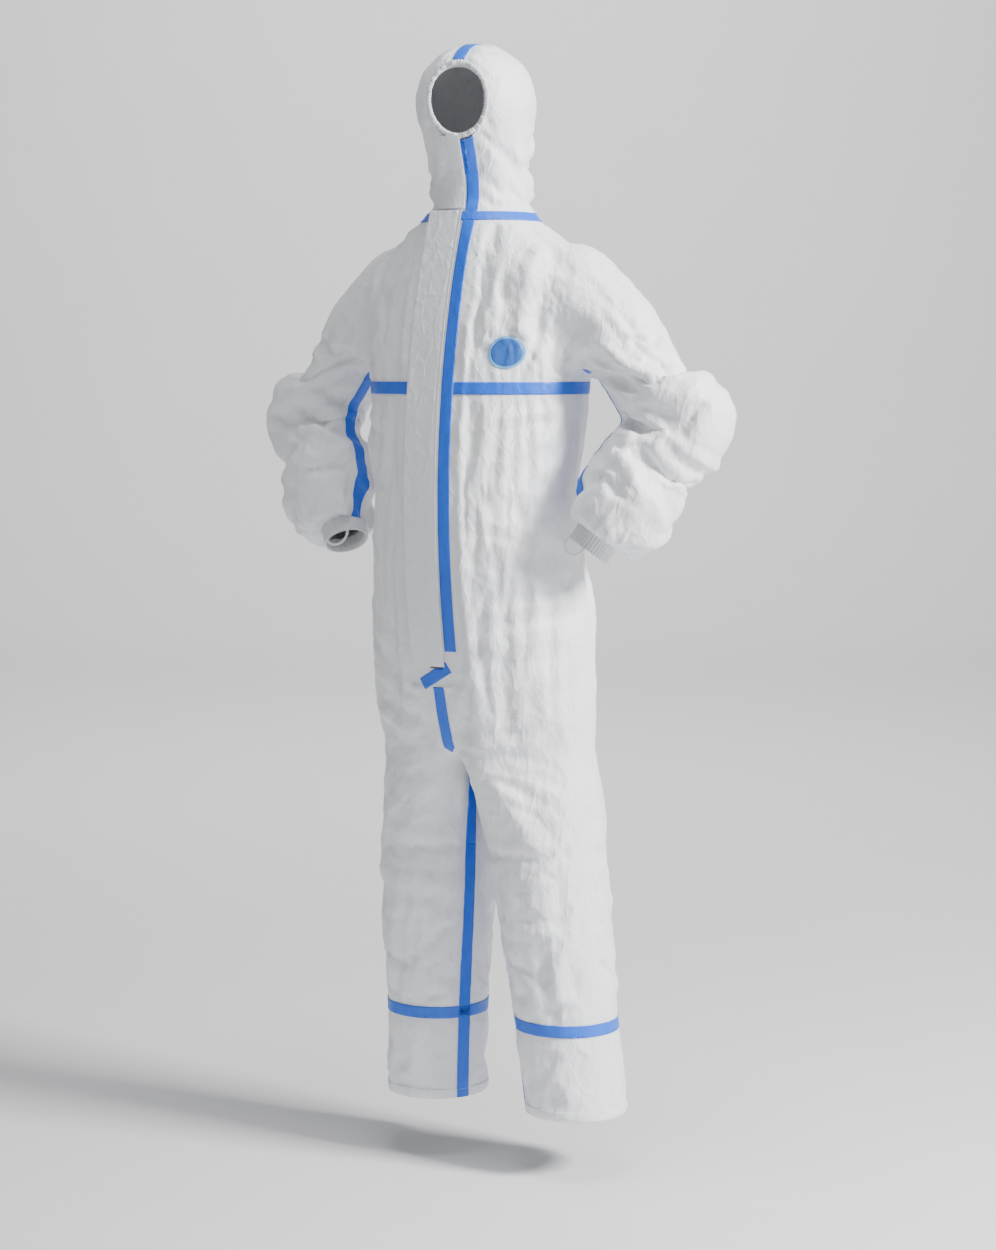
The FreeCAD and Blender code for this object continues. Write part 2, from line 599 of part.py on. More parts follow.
def leg_ring(side, level, half_width, half_depth, flat=1.0):
    """An outline of a leg; flat below 1 moves the outline's fullness to the outer side."""
    middle = leg_centre(side, level)
    inner = half_width * flat
    outer = 2 * half_width - inner
    centre_x = middle - side * (half_width - inner)
    widths = (outer, inner) if side > 0 else (inner, outer)
    return ring(Vector(centre_x, 2.0, level), widths[0], widths[1], half_depth)


def leg(name, side):
    gap = size("body_gap")
    crotch = size("crotch_level") - 2.5
    knee = size("knee_level")
    fold = size("knee_fold")
    knee_wide = size("knee_half_width")
    knee_deep = size("knee_half_depth")
    split = size("leg_split")
    top_depth = (size("hip_back") - 12 - front_line(size("crotch_level"))) / 2
    top_half = abs(leg_centre(side, crotch)) - split
    thigh_end = knee + fold
    middle_level = (crotch + thigh_end) / 2
    middle_half = min(abs(leg_centre(side, middle_level)) - split, knee_wide + 8)
    end_half = min(abs(leg_centre(side, thigh_end)) - split, knee_wide + 2)
    thigh_rings = [
        leg_ring(side, crotch, top_half, top_depth, 0.12),
        leg_ring(side, middle_level, middle_half, (top_depth + knee_deep) / 2, 0.7),
        leg_ring(side, thigh_end, end_half, knee_deep + 2),
    ]
    node(shell(f"{name}_thigh_panel", thigh_rings))
    knee_rings = [
        leg_ring(side, thigh_end - gap, end_half, knee_deep + 2),
        leg_ring(side, knee, min(abs(leg_centre(side, knee)) - split, knee_wide), knee_deep),
        leg_ring(side, knee - fold + gap, size("shin_radius") + 2, size("shin_radius") + 6),
    ]
    node(shell(f"{name}_knee_panel", knee_rings))
    shin_rings = [
        leg_ring(side, knee - fold, size("shin_radius") + 2, size("shin_radius") + 6),
        leg_ring(side, size("shin_seam_level"), size("shin_radius"), size("shin_radius")),
        leg_ring(side, size("hem_level"), size("hem_radius"), size("hem_radius")),
    ]
    shin_wall = shell(f"{name}_shin_wall", shin_rings)
    everywhere = ("-" + FAR, FAR)
    panel(f"{name}_shin_panel", shin_wall,
          block(f"{name}_shin_space", everywhere, everywhere, ("Sizes.shin_seam_level", "Sizes.knee_level")))
    panel(f"{name}_ankle_panel", shin_wall,
          block(f"{name}_ankle_space", everywhere, everywhere, ("Sizes.hem_level", "Sizes.shin_seam_level")))
    shin_tape = shell(f"{name}_shin_tape", shin_rings, TAPE_OUT, TAPE_IN)
    seam_low = f"Sizes.shin_seam_level - {HALF_TAPE}"
    seam_high = f"Sizes.shin_seam_level + {HALF_TAPE}"
    panel(f"{name}_leg_seam_tape", shin_tape,
          block(f"{name}_seam_space", everywhere, everywhere, (seam_low, seam_high)))
    inner_x = ("-" + FAR, f"{leg_centre(side, knee)}") if side > 0 else (f"{leg_centre(side, knee)}", FAR)
    inseam_y = (f"2 - Sizes.inseam_forward - {HALF_TAPE}", f"2 - Sizes.inseam_forward + {HALF_TAPE}")
    panel(f"{name}_inseam_tape_shin", shin_tape, union(f"{name}_inseam_space", [
        block(f"{name}_inseam_high", inner_x, inseam_y, (f"{seam_high} + 0.3", "Sizes.knee_level")),
        block(f"{name}_inseam_low", inner_x, inseam_y, ("Sizes.hem_level", f"{seam_low} - 0.3")),
    ]))
    thigh_x = ("-" + FAR, f"{side * 60}") if side > 0 else (f"{side * 60}", FAR)
    panel(f"{name}_inseam_tape_thigh", shell(f"{name}_thigh_tape", thigh_rings, TAPE_OUT, TAPE_IN),
          block(f"{name}_thigh_space", thigh_x, inseam_y, (f"{thigh_end}", "Sizes.crotch_level - 4")))


leg("left", 1)
leg("right", -1)

# ---------------------------------------------------------------- checks and files

doc.recompute()
for obj in doc.Objects:
    if any(word in obj.State for word in ("Invalid", "Error")):
        raise RuntimeError(f"{obj.Label} failed: {obj.State}")
for obj in NODES:
    if obj.Shape.isNull() or not obj.Shape.isValid() or not obj.Shape.Solids:
        raise RuntimeError(f"{obj.Label} has no valid solid")

os.makedirs("parts", exist_ok=True)
for obj in NODES:
    obj.Shape.exportStep(f"parts/{obj.Label}.step")
print(len(NODES), "sub-parts written")
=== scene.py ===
"""Looks of the hooded protective suit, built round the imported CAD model.

One skin is lofted through sections of the CAD shells, remeshed, given more cloth than its shape needs and
simulated, so that the surplus buckles into folds. Seam tapes are cut out of the finished skin and raised.
"""

import json
import math
from contextlib import contextmanager

import bmesh
import bpy
import numpy as np
from mathutils import Matrix, Vector, noise
from mathutils.bvhtree import BVHTree


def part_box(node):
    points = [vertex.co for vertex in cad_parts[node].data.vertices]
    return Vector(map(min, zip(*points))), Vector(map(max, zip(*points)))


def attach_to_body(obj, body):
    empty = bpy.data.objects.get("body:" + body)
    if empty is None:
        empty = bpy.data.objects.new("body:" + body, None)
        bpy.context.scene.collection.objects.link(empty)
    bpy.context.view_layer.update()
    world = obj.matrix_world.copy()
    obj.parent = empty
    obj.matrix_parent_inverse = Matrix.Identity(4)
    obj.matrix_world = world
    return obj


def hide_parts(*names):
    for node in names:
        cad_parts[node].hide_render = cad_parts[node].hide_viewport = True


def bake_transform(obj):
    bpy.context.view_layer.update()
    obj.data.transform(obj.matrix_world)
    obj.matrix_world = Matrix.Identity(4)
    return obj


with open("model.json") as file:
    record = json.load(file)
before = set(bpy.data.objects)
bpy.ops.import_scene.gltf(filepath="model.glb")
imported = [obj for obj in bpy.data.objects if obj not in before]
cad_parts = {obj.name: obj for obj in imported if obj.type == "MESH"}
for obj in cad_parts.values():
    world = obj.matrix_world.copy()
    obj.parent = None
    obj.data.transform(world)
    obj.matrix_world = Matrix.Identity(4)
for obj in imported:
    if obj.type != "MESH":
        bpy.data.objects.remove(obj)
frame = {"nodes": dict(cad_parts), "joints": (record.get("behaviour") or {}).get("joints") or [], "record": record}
NODES = frame["nodes"]
RECORD = frame["record"]
JOINTS = {joint["name"]: joint for joint in frame["joints"]}
MOUNTS = {mount["name"]: mount for mount in RECORD["mounts"]}
CUFF_LONG = 0.025
CUFF_RADIUS = 0.0375
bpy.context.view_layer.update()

MM = 0.001
VOXEL = 7.5 * MM
RING_POINTS = 72
SIDES = (("left", 1), ("right", -1))


def anchor(joint):
    return np.array(JOINTS[joint]["pos_m"], float)


def unit(v):
    v = np.array(v, float)
    return v / np.linalg.norm(v)


# ---------------------------------------------------------------- meshes and numpy

def points_of(mesh):
    co = np.empty(len(mesh.vertices) * 3)
    mesh.vertices.foreach_get("co", co)
    return co.reshape(-1, 3)


def set_points(mesh, co):
    mesh.vertices.foreach_set("co", np.asarray(co, np.float32).ravel())
    mesh.update()


def normals_of(mesh):
    no = np.empty(len(mesh.vertices) * 3)
    mesh.vertices.foreach_get("normal", no)
    return no.reshape(-1, 3)


def edges_of(mesh):
    ends = np.empty(len(mesh.edges) * 2, int)
    mesh.edges.foreach_get("vertices", ends)
    return ends.reshape(-1, 2)


def new_object(name, mesh):
    obj = bpy.data.objects.new(name, mesh)
    bpy.context.scene.collection.objects.link(obj)
    return obj


def mesh_from(name, co, faces):
    mesh = bpy.data.meshes.new(name)
    mesh.from_pydata([tuple(p) for p in co], [], faces)
    mesh.update()
    return mesh


@contextmanager
def edited(mesh):
    """A bmesh of a mesh, written back to it at the end."""
    work = bmesh.new()
    work.from_mesh(mesh)
    yield work
    work.to_mesh(mesh)
    work.free()


def outward(obj):
    with edited(obj.data) as work:
        bmesh.ops.recalc_face_normals(work, faces=work.faces)
    return obj


def modify(obj, kind, **settings):
    """Adds a modifier."""
    made = obj.modifiers.new(kind.lower(), kind)
    for key, value in settings.items():
        setattr(made, key, value)
    return made


def apply_modifiers(obj):
    graph = bpy.context.evaluated_depsgraph_get()
    mesh = bpy.data.meshes.new_from_object(obj.evaluated_get(graph))
    obj.modifiers.clear()
    obj.data = mesh
    return obj


def smooth_step(x, low, high):
    t = np.clip((x - low) / (high - low), 0, 1)
    return t * t * (3 - 2 * t)


def neighbour_mean(co, ends):
    total = np.zeros_like(co)
    count = np.zeros(len(co))
    for a, b in ((0, 1), (1, 0)):
        np.add.at(total, ends[:, a], co[ends[:, b]])
        np.add.at(count, ends[:, a], 1)
    return total / np.maximum(count, 1)[:, None]


# ---------------------------------------------------------------- sections of the CAD shells

def triangles(names):
    found = []
    for name in names:
        mesh = NODES[name].data
        mesh.calc_loop_triangles()
        corners = np.empty(len(mesh.loop_triangles) * 3, int)
        mesh.loop_triangles.foreach_get("vertices", corners)
        found.append(points_of(mesh)[corners.reshape(-1, 3)])
    return np.concatenate(found)


def cut_points(tris, origin, normal, reach):
    """Points along the line in which a plane cuts the triangles, no further than reach from origin."""
    depth = (tris - origin) @ normal
    near = np.linalg.norm(tris.mean(1) - origin, axis=1) < reach
    keep = near & (depth.min(1) < 0) & (depth.max(1) > 0)
    tris, depth = tris[keep], depth[keep]
    ends = []
    for i, j in ((0, 1), (1, 2), (2, 0)):
        crosses = depth[:, i] * depth[:, j] < 0
        share = depth[:, i] / np.where(crosses, depth[:, i] - depth[:, j], 1)
        point = tris[:, i] + share[:, None] * (tris[:, j] - tris[:, i])
        point[~crosses] = np.nan
        ends.append(point)
    ends = np.stack(ends, 1)
    order = np.argsort(np.isnan(ends[:, :, 0]), axis=1, kind="stable")
    first = ends[np.arange(len(ends)), order[:, 0]]
    second = ends[np.arange(len(ends)), order[:, 1]]
    steps = np.linspace(0, 1, 12)[:, None, None]
    line = (first[None] * (1 - steps) + second[None] * steps).reshape(-1, 3)
    return line[~np.isnan(line[:, 0])]


def section(tris, origin, normal, across, reach=0.4):
    """The outer outline of the shells on a plane, as RING_POINTS points round origin."""
    normal = unit(normal)
    u = unit(np.array(across) - normal * np.dot(across, normal))
    v = np.cross(normal, u)
    origin = np.array(origin, float)
    line = cut_points(tris, origin, normal, reach)
    flat = np.stack([(line - origin) @ u, (line - origin) @ v], 1)
    middle = (flat.min(0) + flat.max(0)) / 2
    origin = origin + u * middle[0] + v * middle[1]
    flat = flat - middle
    angle = np.arctan2(flat[:, 1], flat[:, 0])
    slot = np.round(angle / (2 * math.pi) * RING_POINTS).astype(int) % RING_POINTS
    radius = np.zeros(RING_POINTS)
    np.maximum.at(radius, slot, np.hypot(flat[:, 0], flat[:, 1]))
    known = np.nonzero(radius)[0]
    radius = np.interp(np.arange(RING_POINTS), known, radius[known], period=RING_POINTS)
    turn = np.arange(RING_POINTS) / RING_POINTS * 2 * math.pi
    return origin + np.outer(radius * np.cos(turn), u) + np.outer(radius * np.sin(turn), v)


def tube(name, rings):
    """A closed solid through rings of points."""
    co = np.concatenate(rings + [rings[0].mean(0)[None], rings[-1].mean(0)[None]])
    faces = []
    count = len(rings)
    for i in range(count - 1):
        for j in range(RING_POINTS):
            k = (j + 1) % RING_POINTS
            faces.append((i * RING_POINTS + j, i * RING_POINTS + k,
                          (i + 1) * RING_POINTS + k, (i + 1) * RING_POINTS + j))
    start, end = count * RING_POINTS, count * RING_POINTS + 1
    last = (count - 1) * RING_POINTS
    for j in range(RING_POINTS):
        k = (j + 1) % RING_POINTS
        faces.append((start, k, j))
        faces.append((end, last + j, last + k))
    return outward(new_object(name, mesh_from(name, co, faces)))


def moved(ring, shift, scale=1.0):
    middle = ring.mean(0)
    return middle + (ring - middle) * scale + np.array(shift)


UP = np.array((0, 0, 1.0))
SIDEWAYS = np.array((1.0, 0, 0))
TORSO_NODES = ["bodice_front_left", "bodice_front_right", "bodice_back", "body_front_left",
               "body_front_right", "body_back", "left_seat_panel", "right_seat_panel"]
torso_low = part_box("left_seat_panel")[0].z
torso_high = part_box("bodice_back")[1].z
neck_middle = sum(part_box("neck_seam_tape"), Vector()) / 2
hood_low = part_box("collar")[0].z
hood_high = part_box("hood_left_panel")[1].z
hem_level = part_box("left_ankle_panel")[0].z
crotch_level = torso_low


def torso_solid():
    tris = triangles(TORSO_NODES)
    rings = []
    for z in np.linspace(torso_high - 0.001, torso_low + 0.001, 34):
        rings.append(section(tris, (0, 0, z), UP, SIDEWAYS))
    rings.insert(0, moved(rings[0], (0, 0, 0.006)))
    return tube("torso_solid", rings)


def hood_solid():
    tris = triangles(["collar", "hood_left_panel", "hood_right_panel"])
    rings = []
    for z in np.linspace(hood_low + 0.002, hood_high - 0.003, 26):
        rings.append(section(tris, (neck_middle.x, neck_middle.y, z), UP, SIDEWAYS))
    rings.insert(0, moved(rings[0], (0, 0, -0.008)))
    rings.append(moved(rings[-1], (0, 0, 0.003), 0.5))
    return tube("hood_solid", rings)


class Arm:
    """The centre line of a sleeve, from the joints' anchors and the cuff's mount."""

    def __init__(self, name, side):
        self.name, self.side = name, side
        self.shoulder = anchor(f"{name}_shoulder_raise")
        self.elbow = anchor(f"{name}_elbow_straighten")
        mount = MOUNTS[f"{name}_cuff"]
        self.lower = unit(mount["axis"])
        self.wrist = np.array(mount["pos_m"]) - self.lower * CUFF_LONG / 2
        self.upper = unit(self.elbow - self.shoulder)
        self.upper_long = float(np.linalg.norm(self.elbow - self.shoulder))
        self.lower_long = float(np.linalg.norm(self.wrist - self.elbow))

    def at(self, along):
        """Point and direction on the centre line, along metres from the shoulder."""
        turn = smooth_step(np.array(along), self.upper_long - 0.062, self.upper_long + 0.062)
        direction = unit(self.upper * (1 - turn) + self.lower * turn)
        if along < self.upper_long:
            return self.shoulder + self.upper * along, direction
        return self.elbow + self.lower * (along - self.upper_long), direction

    def solid(self):
        parts = ("shoulder_panel", "upper_sleeve", "elbow_panel", "lower_sleeve")
        tris = triangles([f"{self.name}_{part}" for part in parts])
        total = self.upper_long + self.lower_long
        rings = []
        for along in np.linspace(0.1, total - 0.003, 30):
            point, direction = self.at(along)
            rings.append(section(tris, point, direction, (0, 1, 0), 0.16))
        root = []
        # the sleeve is cut in one with the bodice, so it starts wide and low
        for inward, drop, high, deep in ((0.062, 0.048, 0.108, 0.092), (0.02, 0.036, 0.104, 0.088)):
            middle = self.shoulder + np.array((-self.side * inward, 0, -drop))
            turn = np.arange(RING_POINTS) / RING_POINTS * 2 * math.pi
            tilt = unit(np.array((self.side * 1.0, 0, -0.35)))
            up = np.cross(tilt, (0, 1, 0)) * self.side
            root.append(middle + np.outer(np.cos(turn) * deep, (0, 1, 0)) + np.outer(np.sin(turn) * high, up))
        for i, ring in enumerate(root):
            root[i] = align(ring, rings[0])
        return tube(f"{self.name}_arm_solid", root + rings)


def align(ring, like):
    """The ring's points in the order that twists least against another ring."""
    best = None
    for candidate in (ring, ring[::-1]):
        for shift in range(RING_POINTS):
            turned = np.roll(candidate, shift, axis=0)
            off = (turned - turned.mean(0)) - (like - like.mean(0))
            cost = float((off ** 2).sum())
            if best is None or cost < best[0]:
                best = (cost, turned)
    return best[1]


def leg_solid(name, side):
    parts = ("thigh_panel", "knee_panel", "shin_panel", "ankle_panel")
    tris = triangles([f"{name}_{part}" for part in parts])
    rings = []
    for z in np.linspace(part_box(f"{name}_thigh_panel")[1].z - 0.002, hem_level + 0.0015, 30):
        ring = section(tris, (0.1 * side, 0, z), UP, SIDEWAYS, 0.35)
        near = side * ring[:, 0]
        ring[:, 0] = side * np.maximum(near, 0.0075)
        rings.append(ring)
    rings.insert(0, moved(rings[0], (0, 0, 0.012)))
    rings.append(moved(rings[-1], (0, 0, -0.02)))
    return tube(f"{name}_leg_solid", rings)


ARMS = {name: Arm(name, side) for name, side in SIDES}


def build_skin():
    solids = [torso_solid(), hood_solid()]
    solids += [arm.solid() for arm in ARMS.values()]
    solids += [leg_solid(name, side) for name, side in SIDES]
    work = bmesh.new()
    for solid in solids:
        work.from_mesh(solid.data)
        bpy.data.objects.remove(solid)
    mesh = bpy.data.meshes.new("skin")
    work.to_mesh(mesh)
    work.free()
    skin = new_object("skin", mesh)
    remesh = skin.modifiers.new("remesh", "REMESH")
    remesh.mode = "VOXEL"
    remesh.voxel_size = VOXEL
    return apply_modifiers(skin)




# ---------------------------------------------------------------- openings in the skin

face_axis = unit(MOUNTS["face_seal"]["axis"])
HEAD = Matrix.Translation(neck_middle) @ Matrix.Rotation(math.atan2(face_axis[0], -face_axis[1]), 4, "Z")
TO_HEAD = np.array(HEAD.inverted())


def in_head(co):
    """Points in the frame of the turned head: x to its left, -y to its front, z as in the model."""
    turned = np.asarray(co) @ TO_HEAD[:3, :3].T + TO_HEAD[:3, 3]
    turned[:, 2] = np.asarray(co)[:, 2]
    return turned


FACE_BAND = 0.007
face_edge = in_head(points_of(NODES["face_elastic"].data))
FACE_HALF = ((face_edge[:, 0].max() - face_edge[:, 0].min()) / 2 - FACE_BAND,
             (face_edge[:, 2].max() - face_edge[:, 2].min()) / 2 - FACE_BAND)
FACE_LEVEL = (face_edge[:, 2].max() + face_edge[:, 2].min()) / 2
zip_low, zip_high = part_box("zip_coils")
SLOT_HALF = 0.012


def bisect(work, faces, co, no):
    """Cuts faces along a plane; the cut stays joined."""
    geom = list({e for f in faces for e in f.edges} | {v for f in faces for v in f.verts} | set(faces))
    bmesh.ops.bisect_plane(work, geom=geom, plane_co=co, plane_no=no, dist=1e-6)


def faces_where(work, test):
    return [f for f in work.faces if test(f.calc_center_median())]


def delete_where(work, test):
    bmesh.ops.delete(work, geom=faces_where(work, test), context="FACES")


def open_up(skin):
    work = bmesh.new()
    work.from_mesh(skin.data)
    for name, arm in ARMS.items():
        wrist = Vector(arm.wrist - arm.lower * 0.0045)
        lower = Vector(arm.lower)

        def at_cuff(c):
            off = c - wrist
            return abs(off.dot(lower)) < 0.03 and (off - lower * off.dot(lower)).length < 0.05

        bisect(work, faces_where(work, at_cuff), wrist, lower)
        delete_where(work, lambda c: at_cuff(c) and (c - wrist).dot(lower) > 0)
    low = Vector((0, 0, hem_level + 0.001))
    bisect(work, faces_where(work, lambda c: c.z < hem_level + 0.03), low, UP)
    delete_where(work, lambda c: c.z < low.z)

    def front(c):
        return c.y < -0.05 and abs(c.x) < 0.04 and zip_low.z - 0.02 < c.z < zip_high.z + 0.02

    for co, no in (((SLOT_HALF, 0, 0), (1, 0, 0)), ((-SLOT_HALF, 0, 0), (1, 0, 0)),
                   ((0, 0, zip_low.z), (0, 0, 1)), ((0, 0, zip_high.z), (0, 0, 1))):
        bisect(work, faces_where(work, front), co, no)
    delete_where(work, lambda c: c.y < -0.05 and abs(c.x) < SLOT_HALF and zip_low.z < c.z < zip_high.z)

    centres = np.array([f.calc_center_median() for f in work.faces])
    head = in_head(centres)
    inside = ((head[:, 0] / FACE_HALF[0]) ** 2 + ((head[:, 2] - FACE_LEVEL) / FACE_HALF[1]) ** 2 < 1)
    inside &= (head[:, 1] < 0) & (head[:, 2] > 0.1)
    work.faces.ensure_lookup_table()
    bmesh.ops.delete(work, geom=[work.faces[i] for i in np.nonzero(inside)[0]], context="FACES")
    for v in work.verts:
        if v.is_boundary and v.co.z > 0.1:
            x, y, z = in_head(np.array([v.co]))[0]
            turn = math.atan2((z - FACE_LEVEL) / FACE_HALF[1], x / FACE_HALF[0])
            x, z = FACE_HALF[0] * math.cos(turn), FACE_LEVEL + FACE_HALF[1] * math.sin(turn)
            v.co = HEAD @ Vector((x, y, z))
    for arm in ARMS.values():
        wrist, lower = Vector(arm.wrist), Vector(arm.lower)
        for v in work.verts:
            off = v.co - wrist
            along = off.dot(lower)
            out = off - lower * along
            if abs(along) < 0.02 and out.length < 0.07:
                # the cloth closes in on the band over its last few millimetres
                near = max(0.0, 1 - abs(along + 0.0045) / 0.012) ** 0.6
                v.co += out * (near * (CUFF_RADIUS / out.length - 1))
                if v.is_boundary:
                    v.co += lower * 0.004
    loose = [v for v in work.verts if not v.link_faces]
    bmesh.ops.delete(work, geom=loose, context="VERTS")
    work.to_mesh(skin.data)
    work.free()


# ---------------------------------------------------------------- where a point is on the suit

class Places:
    """Soft masks, 0 to 1, over the points of a skin."""

    def __init__(self, mesh):
        co = points_of(mesh)
        self.co = co
        self.arm = {}
        self.along = {}
        for name, arm in ARMS.items():
            # the nearer of the two straight parts gives how far along the sleeve a point is
            upper = np.clip((co - arm.shoulder) @ arm.upper, 0, arm.upper_long)
            lower = np.clip((co - arm.elbow) @ arm.lower, 0, arm.lower_long)
            off_upper = np.linalg.norm(co - arm.shoulder - upper[:, None] * arm.upper, axis=1)
            off_lower = np.linalg.norm(co - arm.elbow - lower[:, None] * arm.lower, axis=1)
            near = np.minimum(off_upper, off_lower)
            high = smooth_step(co[:, 2], -0.3, -0.24)
            edge = 0.2 - 0.04 * high
            outer = smooth_step(arm.side * co[:, 0] - edge, 0.0, 0.03)
            self.arm[name] = outer * (near < 0.13)
            self.along[name] = np.where(off_upper < off_lower, upper, arm.upper_long + lower)
        self.arms = self.arm["left"] + self.arm["right"]
        self.hood = smooth_step(co[:, 2], -0.002, 0.012) * (np.abs(co[:, 0]) < 0.14)
        self.legs = smooth_step(-co[:, 2], -crotch_level - 0.06, -crotch_level + 0.02)
        self.torso = np.clip(1 - self.arms - self.hood - self.legs, 0, 1)

    def near_level(self, z, half, fade=0.012):
        return 1 - smooth_step(np.abs(self.co[:, 2] - z), half, half + fade)

    def badge(self):
        """The round of the chest that the patch keeps flat."""
        low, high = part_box("size_badge")
        away = np.hypot(self.co[:, 0] - (low.x + high.x) / 2, self.co[:, 2] - (low.z + high.z) / 2)
        radius = (high.x - low.x) / 2
        return (1 - smooth_step(away, radius, radius + 0.014)) * (self.co[:, 1] < 0)

    def front_strip(self):
        x = self.co[:, 0]
        strip = smooth_step(x, -0.06, -0.048) * (1 - smooth_step(x, 0.042, 0.054))
        return strip * (self.co[:, 1] < -0.04) * (self.co[:, 2] > -0.77) * (self.co[:, 2] < 0.004)


def boundary_points(mesh):
    work = bmesh.new()
    work.from_mesh(mesh)
    found = np.array([v.is_boundary for v in work.verts])
    work.free()
    return found


# ---------------------------------------------------------------- where the tapes lie

HALF_TAPE = 0.01
LEG_INSIDE = 0.12
chest_level = sum(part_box("chest_seam_tape"), Vector()).z / 2
shin_seam = sum(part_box("left_leg_seam_tape"), Vector()).z / 2
flap_low, flap_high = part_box("flap_seam_tape")
inseam_low, inseam_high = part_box("left_inseam_tape_shin")
end_middle = sum(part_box("flap_end_tape"), Vector()) / 2
END_TILT = math.radians(30)
collar_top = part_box("hood_left_panel")[0].z
chin_edge = in_head(points_of(NODES["chin_seam_tape"].data))[:, 0]
chin_line = float(chin_edge.min() + chin_edge.max()) / 2


def slab(middle, normal, half):
    """Two half spaces that keep what is within half of a plane."""
    middle, normal = np.array(middle, float), unit(normal)
    return [(middle + normal * half, normal), (middle - normal * half, -normal)]


def beyond(point, normal):
    """The half space on the side of the plane that the normal points to."""
    return [(np.array(point, float), -unit(normal))]


def underarm(name):
    arm = ARMS[name]
    toward = np.array((-arm.side, -0.35, -0.1))
    zones = []
    for start, way in ((arm.shoulder, arm.upper), (arm.elbow, arm.lower)):
        out = unit(toward - way * np.dot(toward, way))
        zones.append(slab(start, np.cross(way, out), HALF_TAPE) + beyond(start, out))
    zones[0] += beyond(arm.shoulder + arm.upper * 0.085, arm.upper) + beyond(
        arm.elbow, -(arm.upper + arm.lower))
    zones[1] += beyond(arm.elbow, arm.upper + arm.lower)
    return zones


def inseam(side):
    y = (inseam_low.y + inseam_high.y) / 2
    return (slab((0, y, 0), (0, 1, 0), HALF_TAPE) + beyond((side * LEG_INSIDE, 0, 0), (-side, 0, 0))
            + beyond((0, 0, crotch_level - 0.002), (0, 0, -1)))


# name: half spaces, the pieces that carry the tape, the CAD nodes it stands for
ZONES = {
    "tape_neck": (slab((0, 0, -0.007), UP, 0.007), ["suit_torso"], ["neck_seam_tape"]),
    "tape_chest": (slab((0, 0, chest_level), UP, HALF_TAPE), ["suit_torso"], ["chest_seam_tape"]),
    "tape_flap_edge": (slab(((flap_low.x + flap_high.x) / 2, 0, 0), SIDEWAYS, HALF_TAPE)
                       + slab((0, 0, (flap_low.z + flap_high.z) / 2), UP, (flap_high.z - flap_low.z) / 2)
                       + beyond((0, -0.04, 0), (0, -1, 0)), ["suit_torso"], ["flap_seam_tape"]),
    "tape_flap_end": (slab(end_middle, (-math.sin(END_TILT), 0, math.cos(END_TILT)), HALF_TAPE)
                      + slab(end_middle, (math.cos(END_TILT), 0, math.sin(END_TILT)), 0.031)
                      + beyond((0, -0.04, 0), (0, -1, 0)), ["suit_torso"], ["flap_end_tape"]),
    "tape_seat": (slab((0, 0, 0), SIDEWAYS, HALF_TAPE) + beyond((0, 0.02, 0), (0, 1, 0))
                  + slab((0, 0, (chest_level + crotch_level) / 2), UP,
                         (chest_level - HALF_TAPE - 0.0003 - crotch_level) / 2), ["suit_torso"],
                  ["seat_seam_tape"]),
    "tape_crotch": (slab((0, 0, 0), SIDEWAYS, HALF_TAPE) + beyond((0, 0.02, 0), (0, -1, 0))
                    + slab((0, 0, end_middle.z - 0.085), UP, 0.066), ["suit_torso"], ["crotch_seam_tape"]),
    "tape_crown": (slab(HEAD @ Vector((0, 0, 0)), HEAD.to_3x3() @ Vector((1, 0, 0)), HALF_TAPE)
                   + beyond((0, 0, collar_top), UP), ["suit_hood"], ["crown_seam_tape"]),
    "tape_chin": (slab(HEAD @ Vector((chin_line, 0, 0)), HEAD.to_3x3() @ Vector((1, 0, 0)), HALF_TAPE)
                  + beyond(HEAD @ Vector((0, -0.02, 0)), HEAD.to_3x3() @ Vector((0, -1, 0)))
                  + slab((0, 0, 0.0605), UP, 0.0605), ["suit_hood"], ["chin_seam_tape"]),
}
for name, side in SIDES:
    for part, zone in zip(("upper", "lower"), underarm(name)):
        ZONES[f"tape_underarm_{part}_{name}"] = (zone, [f"sleeve_top_{name}", f"sleeve_bottom_{name}"],
                                                 [f"{name}_underarm_tape_{part}"])
    ZONES[f"tape_inseam_{name}"] = (inseam(side), [f"leg_top_{name}", f"leg_bottom_{name}"],
                                    [f"{name}_inseam_tape_thigh", f"{name}_inseam_tape_shin"])
    ZONES[f"tape_shin_{name}"] = (slab((0, 0, shin_seam), UP, HALF_TAPE), [f"leg_bottom_{name}"],
                                  [f"{name}_leg_seam_tape"])


def tape_mask(co, places):
    """How firmly tape stiffens each point."""
    total = np.zeros(len(co))
    for title, (planes, carriers, _) in ZONES.items():
        inside = np.ones(len(co))
        for point, normal in planes:
            inside = np.minimum(inside, 1 - smooth_step((co - point) @ normal, 0.0, 0.012))
        if "underarm" in title:
            inside = inside * places.arms
        elif carriers == ["suit_torso"]:
            inside = inside * (1 - places.arms)
        total = np.maximum(total, inside)
    return total


# ---------------------------------------------------------------- more cloth than the shape needs

def arm_surplus(name, co, places):
    """How far each point of a sleeve moves when its gathers are pulled out straight."""
    arm = ARMS[name]
    along, mask = places.along[name], places.arm[name]
    axis_point = np.where((along < arm.upper_long)[:, None], arm.shoulder + along[:, None] * arm.upper,
                          arm.elbow + (along - arm.upper_long)[:, None] * arm.lower)
    middle = unit(arm.upper + arm.lower)
    turn = smooth_step((co - arm.elbow) @ middle, -0.09, 0.09)[:, None]
    way = arm.upper * (1 - turn) + arm.lower * turn
    total = arm.upper_long + arm.lower_long
    level = (co - arm.shoulder) @ middle
    longer = 0.06 * smooth_step(level, 0.05, 0.36) + 0.03 * smooth_step(along, total - 0.14, total)
    return ((co - axis_point) * 0.07 + way * longer[:, None]) * mask[:, None]


